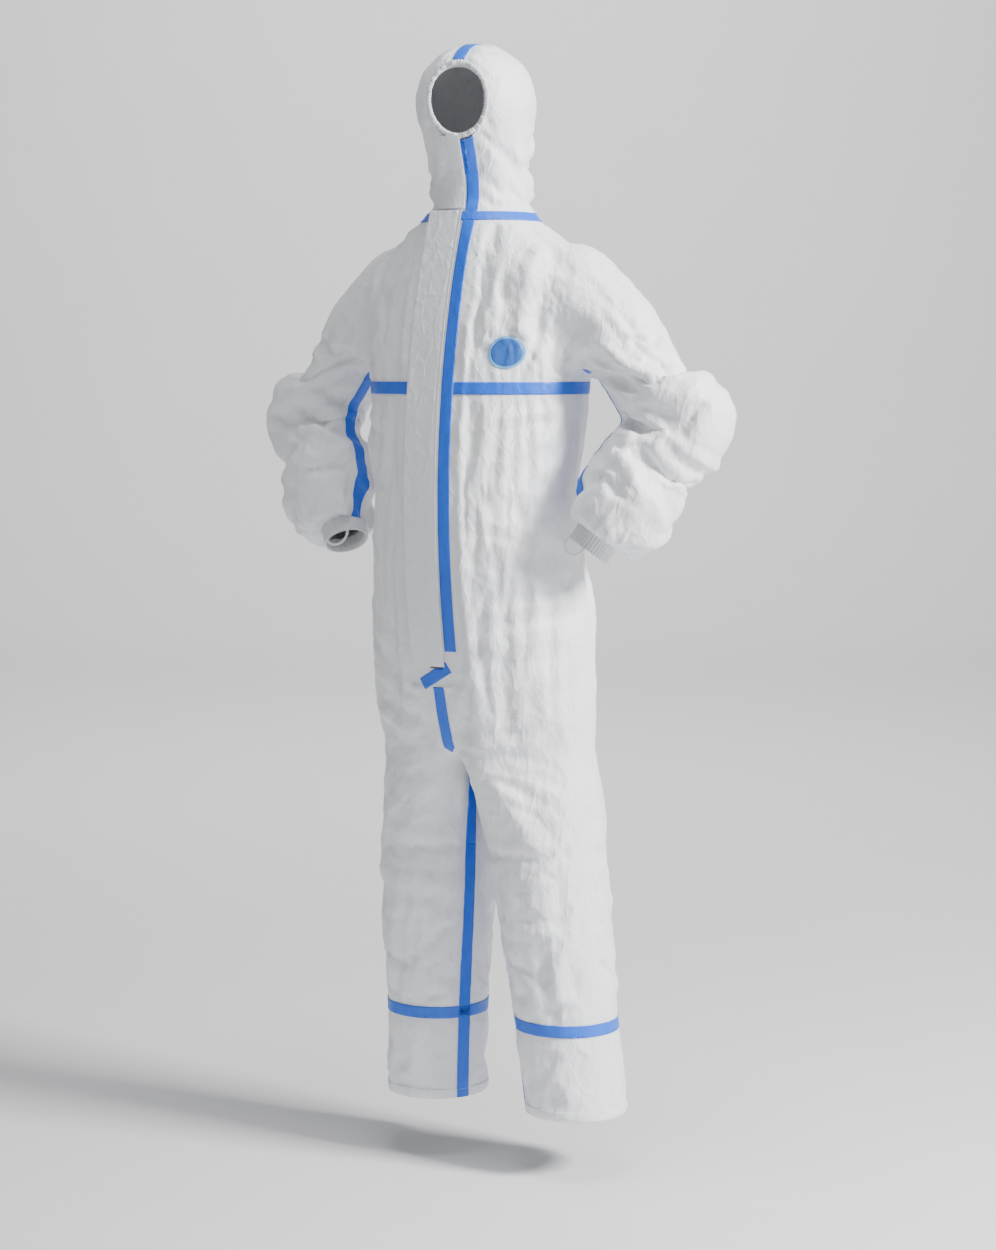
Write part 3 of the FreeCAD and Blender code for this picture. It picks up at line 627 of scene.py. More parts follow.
def roomier(co, places):
    """The cloth's shape before the wearer put it on: fuller round the body, longer at the elbows."""
    rest = co.copy()
    wide = 0.052 * places.torso * (1 - places.front_strip())
    rest[:, :2] += co[:, :2] * wide[:, None]
    for name, side in SIDES:
        rest += arm_surplus(name, co, places)
        leg_side = (side * co[:, 0] > 0) * places.legs
        rest[:, :2] += (co[:, :2] - np.array((0.11 * side, 0.0))) * (0.036 * leg_side)[:, None]
    rest[:, 2] += 0.02 * (co[:, 2] - crotch_level) * places.legs
    rest[:, 2] += 0.04 * co[:, 2] * places.hood
    rest[:, :2] += (co[:, :2] - np.array(neck_middle[:2])) * (0.045 * places.hood)[:, None]
    return rest


def soften(skin):
    """Rounds the joins between the lofts at the shoulders, the neck and the tops of the legs."""
    mesh = skin.data
    co = points_of(mesh)
    ends = edges_of(mesh)
    strength = np.zeros(len(co))
    for arm in ARMS.values():
        away = np.linalg.norm(co - arm.shoulder, axis=1)
        strength = np.maximum(strength, 1 - smooth_step(away, 0.13, 0.19))
    strength = np.maximum(strength, 1 - smooth_step(np.abs(co[:, 2]), 0.012, 0.03))
    strength = np.maximum(strength, 1 - smooth_step(np.abs(co[:, 2] - crotch_level), 0.02, 0.07))
    strip = (np.abs(co[:, 0]) < 0.055) & (co[:, 1] < -0.06) & (co[:, 2] > -0.77)
    strength[strip] = 0
    strength[boundary_points(mesh)] = 0
    for _ in range(40):
        co = co + (neighbour_mean(co, ends) - co) * (0.6 * strength)[:, None]
    set_points(mesh, co)


SIM_FRAMES = 18
RAMP = 9
CAP = 0.022


def simulate(skin):
    mesh = skin.data
    worn = points_of(mesh)
    places = Places(mesh)
    edge = boundary_points(mesh)
    tape = tape_mask(worn, places)
    hold = np.full(len(worn), 0.12)
    hold = np.maximum(hold, places.front_strip())
    hold = np.maximum(hold, 0.45 * tape)
    hold = np.maximum(hold, 0.7 * places.badge())
    waist = (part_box("waist_elastic")[0].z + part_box("waist_elastic")[1].z) / 2
    hold = np.maximum(hold, 0.5 * places.near_level(waist, 0.008, 0.02) * (places.arms < 0.1))
    hold[edge] = 1.0
    uneven = np.random.default_rng(7).normal(0, 0.0012, worn.shape) * (hold < 0.9)[:, None]
    set_points(mesh, roomier(worn, places))
    skin.shape_key_add(name="roomy")
    key = skin.shape_key_add(name="worn")
    key.data.foreach_set("co", (worn + uneven).astype(np.float32).ravel())
    for value, number in ((0, 1), (1, RAMP)):
        key.value = value
        key.keyframe_insert("value", frame=number)
    group = skin.vertex_groups.new(name="hold")
    levels = np.round(hold, 2)
    for level in np.unique(levels):
        group.add([int(i) for i in np.nonzero(levels == level)[0]], float(level), "REPLACE")
    cloth = skin.modifiers.new("cloth", "CLOTH")
    setup = cloth.settings
    setup.quality = 3
    setup.mass = 0.12
    setup.air_damping = 2
    setup.tension_stiffness = setup.compression_stiffness = 18
    setup.shear_stiffness = 9
    setup.bending_stiffness = 2.5
    setup.vertex_group_mass = "hold"
    setup.pin_stiffness = 1
    setup.effector_weights.gravity = 0.25
    cloth.collision_settings.use_collision = False
    scene = bpy.context.scene
    scene.frame_start, scene.frame_end = 1, SIM_FRAMES
    cloth.point_cache.frame_start, cloth.point_cache.frame_end = 1, SIM_FRAMES
    for number in range(1, SIM_FRAMES + 1):
        scene.frame_set(number)
    graph = bpy.context.evaluated_depsgraph_get()
    after = points_of(skin.evaluated_get(graph).to_mesh())
    skin.modifiers.clear()
    skin.vertex_groups.clear()
    skin.shape_key_clear()
    skin.animation_data_clear()
    shift = after - worn
    size = np.linalg.norm(shift, axis=1, keepdims=True)
    shift *= CAP * np.tanh(size / CAP) / np.maximum(size, 1e-9)
    shift *= (1 - 0.75 * tape)[:, None]
    set_points(mesh, worn + shift)
    scene.frame_set(1)


# ---------------------------------------------------------------- folds

def segment_distance(co, a, b):
    """Distance of points from a straight piece of a fold, and how far along it each one is, 0 to 1."""
    way = b - a
    share = np.clip((co - a) @ way / max(way @ way, 1e-12), 0, 1)
    return np.linalg.norm(co - a - share[:, None] * way, axis=1), share


def fold_height(co, path, wide, high):
    """A ridge along a path, with a shallow valley on both sides; it dies out at its ends."""
    low, top = path.min(axis=0) - 3.5 * wide, path.max(axis=0) + 3.5 * wide
    near = np.nonzero(((co > low) & (co < top)).all(axis=1))[0]
    height = np.zeros(len(co))
    if not len(near):
        return height
    best = np.full(len(near), 1e3)
    place = np.zeros(len(near))
    for i in range(len(path) - 1):
        distance, share = segment_distance(co[near], path[i], path[i + 1])
        closer = distance < best
        best[closer] = distance[closer]
        place[closer] = (i + share[closer]) / (len(path) - 1)
    fade = np.sin(np.pi * np.clip(place, 0.02, 0.98)) ** 0.6
    off = best / wide
    height[near] = high * fade * (np.exp(-off ** 1.25) - 0.42 * np.exp(-((off - 2.1) / 0.8) ** 2))
    return height


def fan(starts, ends, count, wide, high):
    """Folds from along one line to along another, given as two end points each."""
    shares = [i / max(count - 1, 1) for i in range(count)]
    return [([np.array(first) * (1 - t) + np.array(last) * t for first, last in (starts, ends)], wide, high)
            for t in shares]


# folds on one side of the body, mirrored on the other: where the first and the last one start, where they
# end, how many there are, and their half width and height in metres
FANS = (
    ((0.06, -0.1, -0.02), (0.12, -0.05, -0.03), (0.07, -0.16, -0.22), (0.17, -0.12, -0.27),
     5, 0.0075, 0.0036),
    ((0.16, -0.06, -0.06), (0.23, -0.03, -0.09), (0.12, -0.15, -0.26), (0.19, -0.1, -0.31), 4, 0.0085, 0.005),
    ((0.2, -0.04, -0.3), (0.2, -0.04, -0.44), (0.09, -0.16, -0.36), (0.07, -0.15, -0.62), 5, 0.0085, 0.004),
    ((0.21, 0.08, -0.1), (0.2, 0.09, -0.36), (0.03, 0.14, -0.24), (0.05, 0.13, -0.56), 6, 0.0095, 0.0046),
    ((0.05, 0.1, -0.02), (0.1, 0.08, -0.02), (0.04, 0.14, -0.18), (0.15, 0.12, -0.2), 3, 0.008, 0.0035),
    ((0.07, -0.15, -0.5), (0.18, -0.08, -0.5), (0.08, -0.14, -0.72), (0.18, -0.06, -0.76), 4, 0.0085, 0.0032),
    ((0.03, 0.13, -0.5), (0.18, 0.07, -0.5), (0.05, 0.12, -0.7), (0.17, 0.08, -0.78), 5, 0.0085, 0.0034),
    ((0.19, -0.02, -0.62), (0.19, -0.02, -0.7), (0.05, -0.15, -0.74), (0.04, -0.13, -0.83),
     3, 0.0085, 0.0034),
    ((0.03, -0.11, -0.83), (0.03, -0.1, -0.92), (0.17, -0.1, -0.8), (0.18, -0.08, -1.04), 6, 0.008, 0.0036),
    ((0.05, 0.11, -0.86), (0.04, 0.09, -0.93), (0.18, 0.08, -0.82), (0.18, 0.07, -1.0), 4, 0.009, 0.0036),
    ((0.04, -0.05, -1.04), (0.05, -0.05, -1.15), (0.19, -0.08, -1.02), (0.19, -0.06, -1.17), 4, 0.008, 0.003),
    ((0.05, 0.07, -1.03), (0.05, 0.07, -1.16), (0.19, 0.07, -1.05), (0.2, 0.06, -1.14), 4, 0.009, 0.0044),
    ((0.07, -0.1, -1.1), (0.17, -0.08, -1.06), (0.1, -0.09, -1.32), (0.2, -0.06, -1.33), 4, 0.0085, 0.0044),
    ((0.08, 0.08, -1.14), (0.18, 0.08, -1.12), (0.1, 0.08, -1.34), (0.2, 0.05, -1.32), 3, 0.009, 0.004),
    ((0.08, -0.09, -1.37), (0.19, -0.06, -1.38), (0.12, -0.09, -1.47), (0.17, -0.07, -1.46),
     3, 0.007, 0.0028),
)


def body_folds():
    found = []
    for _, k in SIDES:
        for *corners, count, wide, high in FANS:
            a, b, c, d = (np.array(point) * (k, 1, 1) for point in corners)
            found += fan((a, b), (c, d), count, wide, high)
    # the cloth pushed together over the wearer's left hip
    found += fan(((0.20, -0.02, -0.50), (0.20, -0.02, -0.66)),
                 ((0.09, -0.16, -0.42), (0.07, -0.15, -0.70)), 6, 0.0095, 0.0052)
    return found


def hood_folds():
    found = []
    for _, k in SIDES:
        for i in range(9):
            low = -0.005 + 0.02 * i
            a = (0.088 * k, -0.045, 0.03 + 0.011 * i)
            b = (0.075 * k, 0.10 - 0.002 * i, low + 0.008)
            found.append(([np.array(HEAD @ Vector(p)) for p in (a, b)], 0.0068, 0.0052 if i % 2 else 0.0040))
    found += fan(((-0.05, 0.08, 0.02), (0.05, 0.08, 0.02)),
                 ((-0.03, 0.12, 0.14), (0.04, 0.12, 0.12)), 4, 0.008, 0.003)
    return found


def sleeve_folds(name, rng):
    """Long folds down the upper sleeve, a bunch at the elbow, and crumples down to gathers at the cuff."""
    arm = ARMS[name]
    total = arm.upper_long + arm.lower_long

    def at(along, turn):
        """A point well outside the sleeve; turn 0 is the inside of the elbow."""
        way = arm.upper if along < arm.upper_long else arm.lower
        axis = (arm.shoulder + arm.upper * along if along < arm.upper_long
                else arm.elbow + arm.lower * (along - arm.upper_long))
        inner = unit(arm.lower - arm.upper)
        inner = unit(inner - way * (inner @ way))
        return axis + 0.07 * (inner * math.cos(turn) + np.cross(way, inner) * math.sin(turn))

    found = []
    for i in range(11):
        turn = 2 * math.pi * i / 11 + rng.uniform(-0.2, 0.2)
        start = rng.uniform(0.05, 0.11)
        long = rng.uniform(0.08, 0.16)
        found.append(([at(start, turn), at(start + long, turn + rng.uniform(-0.5, 0.5))], 0.008,
                      rng.uniform(0.0032, 0.0055)))
    for i in range(9):
        along = arm.upper_long + rng.uniform(-0.055, 0.055)
        half = rng.uniform(0.7, 1.5)
        middle = rng.uniform(-0.5, 0.5) + (math.pi if i % 3 == 2 else 0)
        lean = rng.uniform(-0.025, 0.025)
        path = [at(along + lean * t, middle + half * t) for t in (-1, -0.5, 0, 0.5, 1)]
        found.append((path, 0.0095, rng.uniform(0.0045, 0.0075)))
    for i in range(18):
        along = arm.upper_long + 0.05 + (arm.lower_long - 0.10) * i / 17
        middle = rng.uniform(0, 2 * math.pi)
        half, lean = rng.uniform(0.5, 1.2), rng.uniform(-0.045, 0.045)
        path = [at(along + lean * t, middle + half * t) for t in (-1, -0.4, 0.3, 1)]
        found.append((path, rng.uniform(0.007, 0.011), rng.uniform(0.004, 0.0068)))
    for i in range(26):
        turn = 2 * math.pi * i / 26 + rng.uniform(-0.06, 0.06)
        long = rng.uniform(0.03, 0.055)
        found.append(([at(total - 0.0045 - long, turn), at(total + 0.004, turn)], 0.0036, 0.0024))
    return found


def add_folds(co, no, polygons, calm, places):
    """Moves points of the skin along their normals, up on the folds and down beside them."""
    mesh_tree = BVHTree.FromPolygons([Vector(p) for p in co], polygons)
    rng = np.random.default_rng(23)
    height = np.zeros(len(co))
    groups = [(body_folds(), 1 - places.arms, 0.022), (hood_folds(), places.hood, 0.008)]
    groups += [(sleeve_folds(name, rng), places.arm[name], 0.006) for name, _ in SIDES]
    for found, mask, stray in groups:
        for line, wide, high in found:
            fine = np.linspace(0, len(line) - 1, 11)
            path = np.array([np.interp(fine, range(len(line)), np.array(line)[:, j]) for j in range(3)]).T
            path += smooth_wander(rng, len(path), 0.006)
            path += np.linspace(*rng.uniform(-stray, stray, (2, 3)), len(path))
            path = np.array([mesh_tree.find_nearest(Vector(p))[0] for p in path])
            grown = rng.uniform(0.7, 1.9)
            height += fold_height(co, path, wide * grown, high * grown * rng.uniform(0.5, 1.1)) * mask
    height = FOLD_CAP * np.tanh(height / FOLD_CAP)
    return co + no * (height * calm)[:, None]


def smooth_wander(rng, count, reach):
    """Random sideways shifts that change slowly along a line."""
    knots = rng.uniform(-reach, reach, (4, 3))
    at = np.linspace(0, 3, count)
    return np.array([np.interp(at, range(4), knots[:, j]) for j in range(3)]).T


FOLD_CAP = 0.009


# ---------------------------------------------------------------- fine creases

def crease(point, cell):
    """0 on the flats and 1 on the ridges of a net of creases about a cell apart."""
    wobble = noise.noise_vector(point * (0.5 / cell)) * (0.35 * cell)
    near = noise.voronoi((point + wobble) / cell)[0]
    return math.exp(-((near[1] - near[0]) / 0.16) ** 2)


def add_creases(skin):
    modify(skin, "SUBSURF", levels=1, render_levels=1)
    apply_modifiers(skin)
    mesh = skin.data
    co, no = points_of(mesh), normals_of(mesh)
    places = Places(mesh)
    taped = tape_mask(co, places)
    calm = 1 - 0.8 * np.maximum(taped, places.front_strip())
    calm[boundary_points(mesh)] = 0
    polygons = [tuple(f.vertices) for f in mesh.polygons]
    still = np.maximum(places.front_strip(), places.near_level(hem_level, 0.002, 0.01))
    still = np.maximum(still, 0.9 * places.badge())
    co = add_folds(co, no, polygons, (1 - still) * (1 - 0.55 * taped) * (calm > 0), places)
    set_points(mesh, co)
    no = normals_of(mesh)
    stretch = Vector((1, 1, 0.55))
    height = np.zeros(len(co))
    for i, p in enumerate(co):
        point = Vector(p) * stretch
        height[i] = (0.55 * crease(point, 0.030) + 0.35 * crease(point + Vector((3, 1, 2)), 0.014)
                     + 0.5 * noise.noise(point * 26))
    set_points(mesh, co + no * (height * calm * 0.0015)[:, None])


# ---------------------------------------------------------------- the suit's pieces

SHOULDER_CUT = 0.203
ELBOW_CUT = 0.02
KNEE_CUT = -1.05
LEG_HIGHEST = -0.7
FORK = Vector((0, 0, crotch_level - 0.005))


def fork_way(side):
    return unit((0.656 * side, 0, -0.755))


def arm_side(co, side):
    """Which points belong to a sleeve: outside the armhole above, round the forearm below."""
    x, z = side * co[:, 0], co[:, 2]
    return np.where(z > -0.33, x > SHOULDER_CUT, (x > 0.198) & (z > -0.57))


def cut_lines(work):
    def near_arm(c, side):
        return side * c.x > 0.18 and -0.6 < c.z < 0

    for name, side in SIDES:
        arm = ARMS[name]
        middle = unit(arm.upper + arm.lower)
        faces = faces_where(work, lambda c: 0.18 < side * c.x < 0.23 and -0.34 < c.z < 0)
        bisect(work, faces, (side * SHOULDER_CUT, 0, 0), (1, 0, 0))
        faces = faces_where(work, lambda c: near_arm(c, side) and -0.42 < c.z < -0.24)
        bisect(work, faces, arm.elbow - middle * ELBOW_CUT, middle)
        way = fork_way(side)
        faces = faces_where(work, lambda c: side * c.x > -0.004 and -0.95 < c.z < -0.66)
        bisect(work, faces, FORK, way)
    bisect(work, faces_where(work, lambda c: abs(c.z) < 0.02 and abs(c.x) < 0.15), (0, 0, 0), UP)
    bisect(work, faces_where(work, lambda c: abs(c.z - KNEE_CUT) < 0.02), (0, 0, KNEE_CUT), UP)


def piece_of(centres):
    """The name of the piece that each face belongs to."""
    found = np.full(len(centres), "suit_torso", dtype=object)
    found[(centres[:, 2] > 0) & (np.abs(centres[:, 0]) < 0.15)] = "suit_hood"
    for name, side in SIDES:
        arm = ARMS[name]
        middle = unit(arm.upper + arm.lower)
        sleeve = arm_side(centres, side)
        low = (centres - (arm.elbow - middle * ELBOW_CUT)) @ middle > 0
        found[sleeve & ~low] = f"sleeve_top_{name}"
        found[sleeve & low] = f"sleeve_bottom_{name}"
        leg = (centres - np.array(FORK)) @ fork_way(side) > 0
        leg &= (side * centres[:, 0] > 0) & (centres[:, 2] < LEG_HIGHEST)
        found[leg] = f"leg_top_{name}"
        found[leg & (centres[:, 2] < KNEE_CUT)] = f"leg_bottom_{name}"
    return found


def split(skin):
    work = bmesh.new()
    work.from_mesh(skin.data)
    cut_lines(work)
    work.normal_update()
    co = np.array([v.co for v in work.verts])
    no = np.array([v.normal for v in work.verts])
    work.verts.index_update()
    faces = [[v.index for v in f.verts] for f in work.faces]
    centres = np.array([f.calc_center_median() for f in work.faces])
    work.free()
    names = piece_of(centres)
    made = {}
    for title in sorted(set(names)):
        chosen = [faces[i] for i in np.nonzero(names == title)[0]]
        used = sorted({i for f in chosen for i in f})
        index = {old: new for new, old in enumerate(used)}
        mesh = mesh_from(title, co[used], [[index[i] for i in f] for f in chosen])
        mesh.shade_smooth()
        mesh.normals_split_custom_set_from_vertices([tuple(n) for n in no[used]])
        made[title] = new_object(title, mesh)
    return made


def attach(obj, carrier):
    """Parents a torso piece to the torso body; every other piece only has its transform baked into its mesh."""
    if carrier == "suit_torso":
        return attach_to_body(obj, "torso")
    if carrier == "suit_hood":
        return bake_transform(obj)
    part, side_name = carrier.rsplit("_", 1)
    if part == "sleeve_top":
        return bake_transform(obj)
    if part == "sleeve_bottom":
        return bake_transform(obj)
    if part == "leg_top":
        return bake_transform(obj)
    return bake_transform(obj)


def strip(carrier, planes, title, lift, thick):
    """What lies within the half spaces of a carrier's mesh, raised and thickened; None if nothing does."""
    mesh = carrier.data
    co = points_of(mesh)
    near = np.ones(len(co), bool)
    for point, normal in planes:
        near &= (co - point) @ normal < 0.012
    faces = [tuple(f.vertices) for f in mesh.polygons if all(near[i] for i in f.vertices)]
    if not faces:
        return None
    used = sorted({i for f in faces for i in f})
    index = {old: new for new, old in enumerate(used)}
    part = mesh_from(title, co[used], [[index[i] for i in f] for f in faces])
    work = bmesh.new()
    work.from_mesh(part)
    for point, normal in planes:
        geom = work.verts[:] + work.edges[:] + work.faces[:]
        bmesh.ops.bisect_plane(work, geom=geom, plane_co=point, plane_no=normal, clear_outer=True, dist=1e-6)
    if len(work.faces) < 8:
        work.free()
        return None
    work.normal_update()
    for v in work.verts:
        v.co += v.normal * lift
    work.to_mesh(part)
    work.free()
    part.shade_smooth()
    obj = new_object(title, part)
    modify(obj, "SOLIDIFY", thickness=thick, offset=1)
    apply_modifiers(obj)
    return obj


def keep_part(obj, test):
    """Deletes the faces of obj whose centre fails a test."""
    with edited(obj.data) as work:
        delete_where(work, lambda centre: not test(centre))


# ---------------------------------------------------------------- materials

class Paint:
    """A node material, built up from a few short calls."""

    def __init__(self, name, colour, rough, **sockets):
        self.material = bpy.data.materials.new(name)
        self.material.use_nodes = True
        self.tree = self.material.node_tree
        self.shader = self.tree.nodes["Principled BSDF"]
        self.shader.inputs["Base Color"].default_value = (*colour, 1)
        self.shader.inputs["Roughness"].default_value = rough
        for socket, value in sockets.items():
            self.shader.inputs[socket.replace("_", " ")].default_value = value
        self.spot = self.node("ShaderNodeTexCoord").outputs["Object"]
        self.bump = None

    def node(self, kind, **inputs):
        made = self.tree.nodes.new(kind)
        for key, value in inputs.items():
            self.put(made, key.replace("_", " "), value)
        return made

    def put(self, node, key, value):
        if hasattr(value, "is_output"):
            self.tree.links.new(value, node.inputs[key])
        else:
            node.inputs[key].default_value = value

    def stretched(self, scale, turn=(0, 0, 0)):
        mapping = self.node("ShaderNodeMapping", Vector=self.spot)
        mapping.inputs["Scale"].default_value = scale
        mapping.inputs["Rotation"].default_value = turn
        return mapping.outputs["Vector"]

    def noise(self, scale, detail=4, spot=None, rough=0.5):
        return self.node("ShaderNodeTexNoise", Vector=spot or self.spot, Scale=scale, Detail=detail,
                         Roughness=rough).outputs["Fac"]

    def cracks(self, scale, spot=None, sharp=0.12):
        """1 along a net of creases, 0 on the flats."""
        wobble = self.node("ShaderNodeTexNoise", Vector=spot or self.spot, Scale=scale * 0.7).outputs["Color"]
        mixed = self.node("ShaderNodeMix")
        mixed.data_type = "VECTOR"
        self.put(mixed, 0, 0.035)
        self.put(mixed, 4, spot or self.spot)
        self.put(mixed, 5, wobble)
        net = self.node("ShaderNodeTexVoronoi", Vector=mixed.outputs[1], Scale=scale)
        net.feature = "DISTANCE_TO_EDGE"
        return self.ramp(net.outputs["Distance"], ((0.0, 1.0), (sharp, 0.0)))

    def wave(self, scale, spot=None, distort=0.0, direction="X"):
        made = self.node("ShaderNodeTexWave", Vector=spot or self.spot, Scale=scale, Distortion=distort)
        made.bands_direction = direction
        return made.outputs["Fac"]

    def ramp(self, value, stops):
        made = self.node("ShaderNodeValToRGB", Fac=value)
        for stop, (place, level) in zip(made.color_ramp.elements, stops):
            stop.position = place
            stop.color = (level, level, level, 1)
        return made.outputs["Color"]

    def blend(self, share, low, high):
        made = self.node("ShaderNodeMix")
        made.data_type = "RGBA"
        self.put(made, 0, share)
        self.put(made, 6, low if hasattr(low, "is_output") else (*low, 1))
        self.put(made, 7, high if hasattr(high, "is_output") else (*high, 1))
        return made.outputs[2]

    def colour(self, socket):
        self.put(self.shader, "Base Color", socket)
        return self

    def rough(self, value, low, high):
        made = self.node("ShaderNodeMapRange", Value=value)
        made.inputs["To Min"].default_value = low
        made.inputs["To Max"].default_value = high
        self.put(self.shader, "Roughness", made.outputs["Result"])
        return self

    def raised(self, height, distance, strength=1.0):
        bump = self.node("ShaderNodeBump", Height=height, Distance=distance, Strength=strength)
        if self.bump:
            self.tree.links.new(self.bump, bump.inputs["Normal"])
        self.bump = bump.outputs["Normal"]
        self.put(self.shader, "Normal", self.bump)
        return self


def suit_cloth():
    paint = Paint("nonwoven_film", (0.87, 0.88, 0.9), 0.5, Sheen_Weight=0.12, Sheen_Roughness=0.4)
    shade = paint.noise(9, 6)
    fibre = paint.noise(420, 3, paint.stretched((1, 1, 0.35)))
    paint.colour(paint.blend(shade, (0.80, 0.815, 0.85), (0.90, 0.905, 0.915)))
    paint.rough(fibre, 0.42, 0.62)
    tall = paint.stretched((1, 1, 0.5))
    paint.raised(paint.cracks(34, tall), 0.0009, 0.55)
    paint.raised(paint.cracks(85, paint.stretched((1, 1, 0.7), (0.3, 0.2, 0.1))), 0.0005, 0.5)
    paint.raised(paint.noise(60, 6, tall, 0.6), 0.0008, 0.5)
    return paint.raised(fibre, 0.00012, 0.5).material


def tape_satin():
    paint = Paint("tape_satin", (0.008, 0.12, 0.70), 0.42, Coat_Weight=0.05, Coat_Roughness=0.4)
    streak = paint.noise(140, 4, paint.stretched((1, 1, 0.25)))
    paint.colour(paint.blend(streak, (0.006, 0.10, 0.60), (0.010, 0.15, 0.80)))
    paint.rough(streak, 0.36, 0.54)
    paint.raised(paint.cracks(95), 0.0004, 0.5)
    return paint.raised(paint.noise(900, 2), 0.00008, 0.6).material


def woven(name, groove_shade, light, pitch, depth=0.00025, rough=0.75):
    paint = Paint(name, light, rough, Sheen_Weight=0.2)
    across = paint.wave(pitch, direction="Z")
    along = paint.wave(pitch * 0.8, direction="X", distort=1.5)
    both = paint.node("ShaderNodeMath", Value=across)
    both.operation = "MULTIPLY"
    paint.tree.links.new(along, both.inputs[1])
    # the weave goes from the darker colour, painted shade in its grooves, where its raised pattern is low, to the
    # lighter colour on its crests
    paint.colour(paint.blend(both.outputs[0], groove_shade, light))
    paint.raised(both.outputs[0], depth, 0.8)
    return paint.raised(paint.noise(1500, 2), 0.00005, 0.5).material


def metal():
    paint = Paint("zip_alloy", (0.72, 0.73, 0.76), 0.3, Metallic=1.0)
    scratch = paint.noise(700, 4, paint.stretched((1, 1, 0.1)))
    paint.colour(paint.blend(scratch, (0.55, 0.56, 0.6), (0.8, 0.8, 0.83)))
    paint.rough(scratch, 0.22, 0.42)
    return paint.raised(scratch, 0.00003, 0.5).material


def nylon():
    paint = Paint("coil_nylon", (0.82, 0.83, 0.85), 0.35, Coat_Weight=0.2)
    speck = paint.noise(500, 3)
    paint.colour(paint.blend(speck, (0.76, 0.77, 0.8), (0.87, 0.88, 0.9)))
    return paint.raised(speck, 0.00005, 0.5).material


def waxed():
    paint = Paint("release_paper", (0.86, 0.87, 0.8), 0.4, Coat_Weight=0.2)
    mottle = paint.noise(240, 5)
    paint.colour(paint.blend(mottle, (0.8, 0.82, 0.74), (0.9, 0.91, 0.85)))
    paint.rough(mottle, 0.3, 0.5)
    return paint.raised(mottle, 0.00006, 0.5).material


def printed(name, low, high):
    paint = Paint(name, high, 0.4, Coat_Weight=0.1)
    grain = paint.noise(520, 4)
    paint.colour(paint.blend(grain, low, high))
    paint.rough(grain, 0.34, 0.5)
    return paint.raised(grain, 0.00008, 0.5).material


def floor_paint():
    paint = Paint("studio_floor", (0.78, 0.78, 0.79), 0.8)
    paint.colour(paint.blend(paint.noise(3, 3), (0.765, 0.765, 0.775), (0.795, 0.795, 0.8)))
    return paint.material


CLOTH = suit_cloth()
TAPE = tape_satin()
# the first colour of each woven material is painted shade for the grooves of its weave
ELASTIC = woven("elastic_rib", (0.66, 0.67, 0.7), (0.9, 0.9, 0.91), 260)
ZIP_CLOTH = woven("zip_weave", (0.7, 0.71, 0.74), (0.88, 0.89, 0.9), 420, 0.0001)
METAL, NYLON, WAXED = metal(), nylon(), waxed()
PATCH = printed("patch_print", (0.02, 0.09, 0.34), (0.03, 0.13, 0.46))
PATCH_RIM = printed("patch_rim", (0.10, 0.32, 0.66), (0.14, 0.42, 0.78))


def dress(obj, material):
    obj.data.materials.clear()
    obj.data.materials.append(material)
    return obj


def place(obj, material, slot, carrier, *nodes):
    """Dresses a piece, attaches it as attach does for its carrier, and hides the CAD nodes that it stands for."""
    dress(obj, material)
    attach(obj, carrier)
    if nodes:
        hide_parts(*nodes)


# ---------------------------------------------------------------- building the suit

skin = build_skin()
open_up(skin)
soften(skin)
simulate(skin)
add_creases(skin)
PIECES = split(skin)
bpy.data.objects.remove(skin)

STANDS_FOR = {
    "suit_torso": TORSO_NODES,
    "suit_hood": ["collar", "hood_left_panel", "hood_right_panel"],
}
for name, side in SIDES:
    STANDS_FOR[f"sleeve_top_{name}"] = [f"{name}_shoulder_panel", f"{name}_upper_sleeve"]
    STANDS_FOR[f"sleeve_bottom_{name}"] = [f"{name}_elbow_panel", f"{name}_lower_sleeve"]
    STANDS_FOR[f"leg_top_{name}"] = [f"{name}_thigh_panel"]
    STANDS_FOR[f"leg_bottom_{name}"] = [f"{name}_knee_panel", f"{name}_shin_panel", f"{name}_ankle_panel"]

on_piece = {title: [] for title in PIECES}
for title, (planes, carriers, nodes) in ZONES.items():
    first = True
    for carrier in carriers:
        label = title if first else title + "_end"
        obj = strip(PIECES[carrier], planes, label, 0.0004, 0.0009)
        if obj is None:
            continue
        if title == "tape_chest":
            gap = (-0.013, flap_high.x)
            keep_part(obj, lambda c: c.y > 0 or not gap[0] < c.x < gap[1])
        if title in ("tape_chin", "tape_crown"):
            def off_face(c):
                x, y, z = in_head(np.array([c]))[0]
                x, z = x / (FACE_HALF[0] + 0.006), (z - FACE_LEVEL) / (FACE_HALF[1] + 0.006)
                return y > 0 or x * x + z * z > 1
            keep_part(obj, off_face)
        place(obj, TAPE, "seam_tape", carrier, *(nodes if first else ()))
        first = False
        on_piece[carrier].append(obj)

for title, obj in PIECES.items():
    place(obj, CLOTH, "suit_fabric", title, *STANDS_FOR[title])


# ---------------------------------------------------------------- bindings, flaps and small parts

def on_surface(tree, start, way):
    """Where a ray meets a surface, or None."""
    return tree.ray_cast(Vector(start), Vector(way))[0]


def tree_of(obj):
    graph = bpy.context.evaluated_depsgraph_get()
    return BVHTree.FromObject(obj, graph)


def swept(title, centres, outs, ups, shape, closed):
    """A band whose cross-section, pairs of (out, up) in metres at each station, runs along a line."""
    co, faces = [], []
    count, sides = len(centres), len(shape(0))
    for i in range(count):
        for out, up in shape(i):
            co.append(centres[i] + outs[i] * out + ups[i] * up)
    for i in range(count if closed else count - 1):
        nxt = (i + 1) % count
        for j in range(sides):
            k = (j + 1) % sides
            faces.append((i * sides + j, i * sides + k, nxt * sides + k, nxt * sides + j))
    obj = outward(new_object(title, mesh_from(title, co, faces)))
    obj.data.shade_smooth()
    return obj


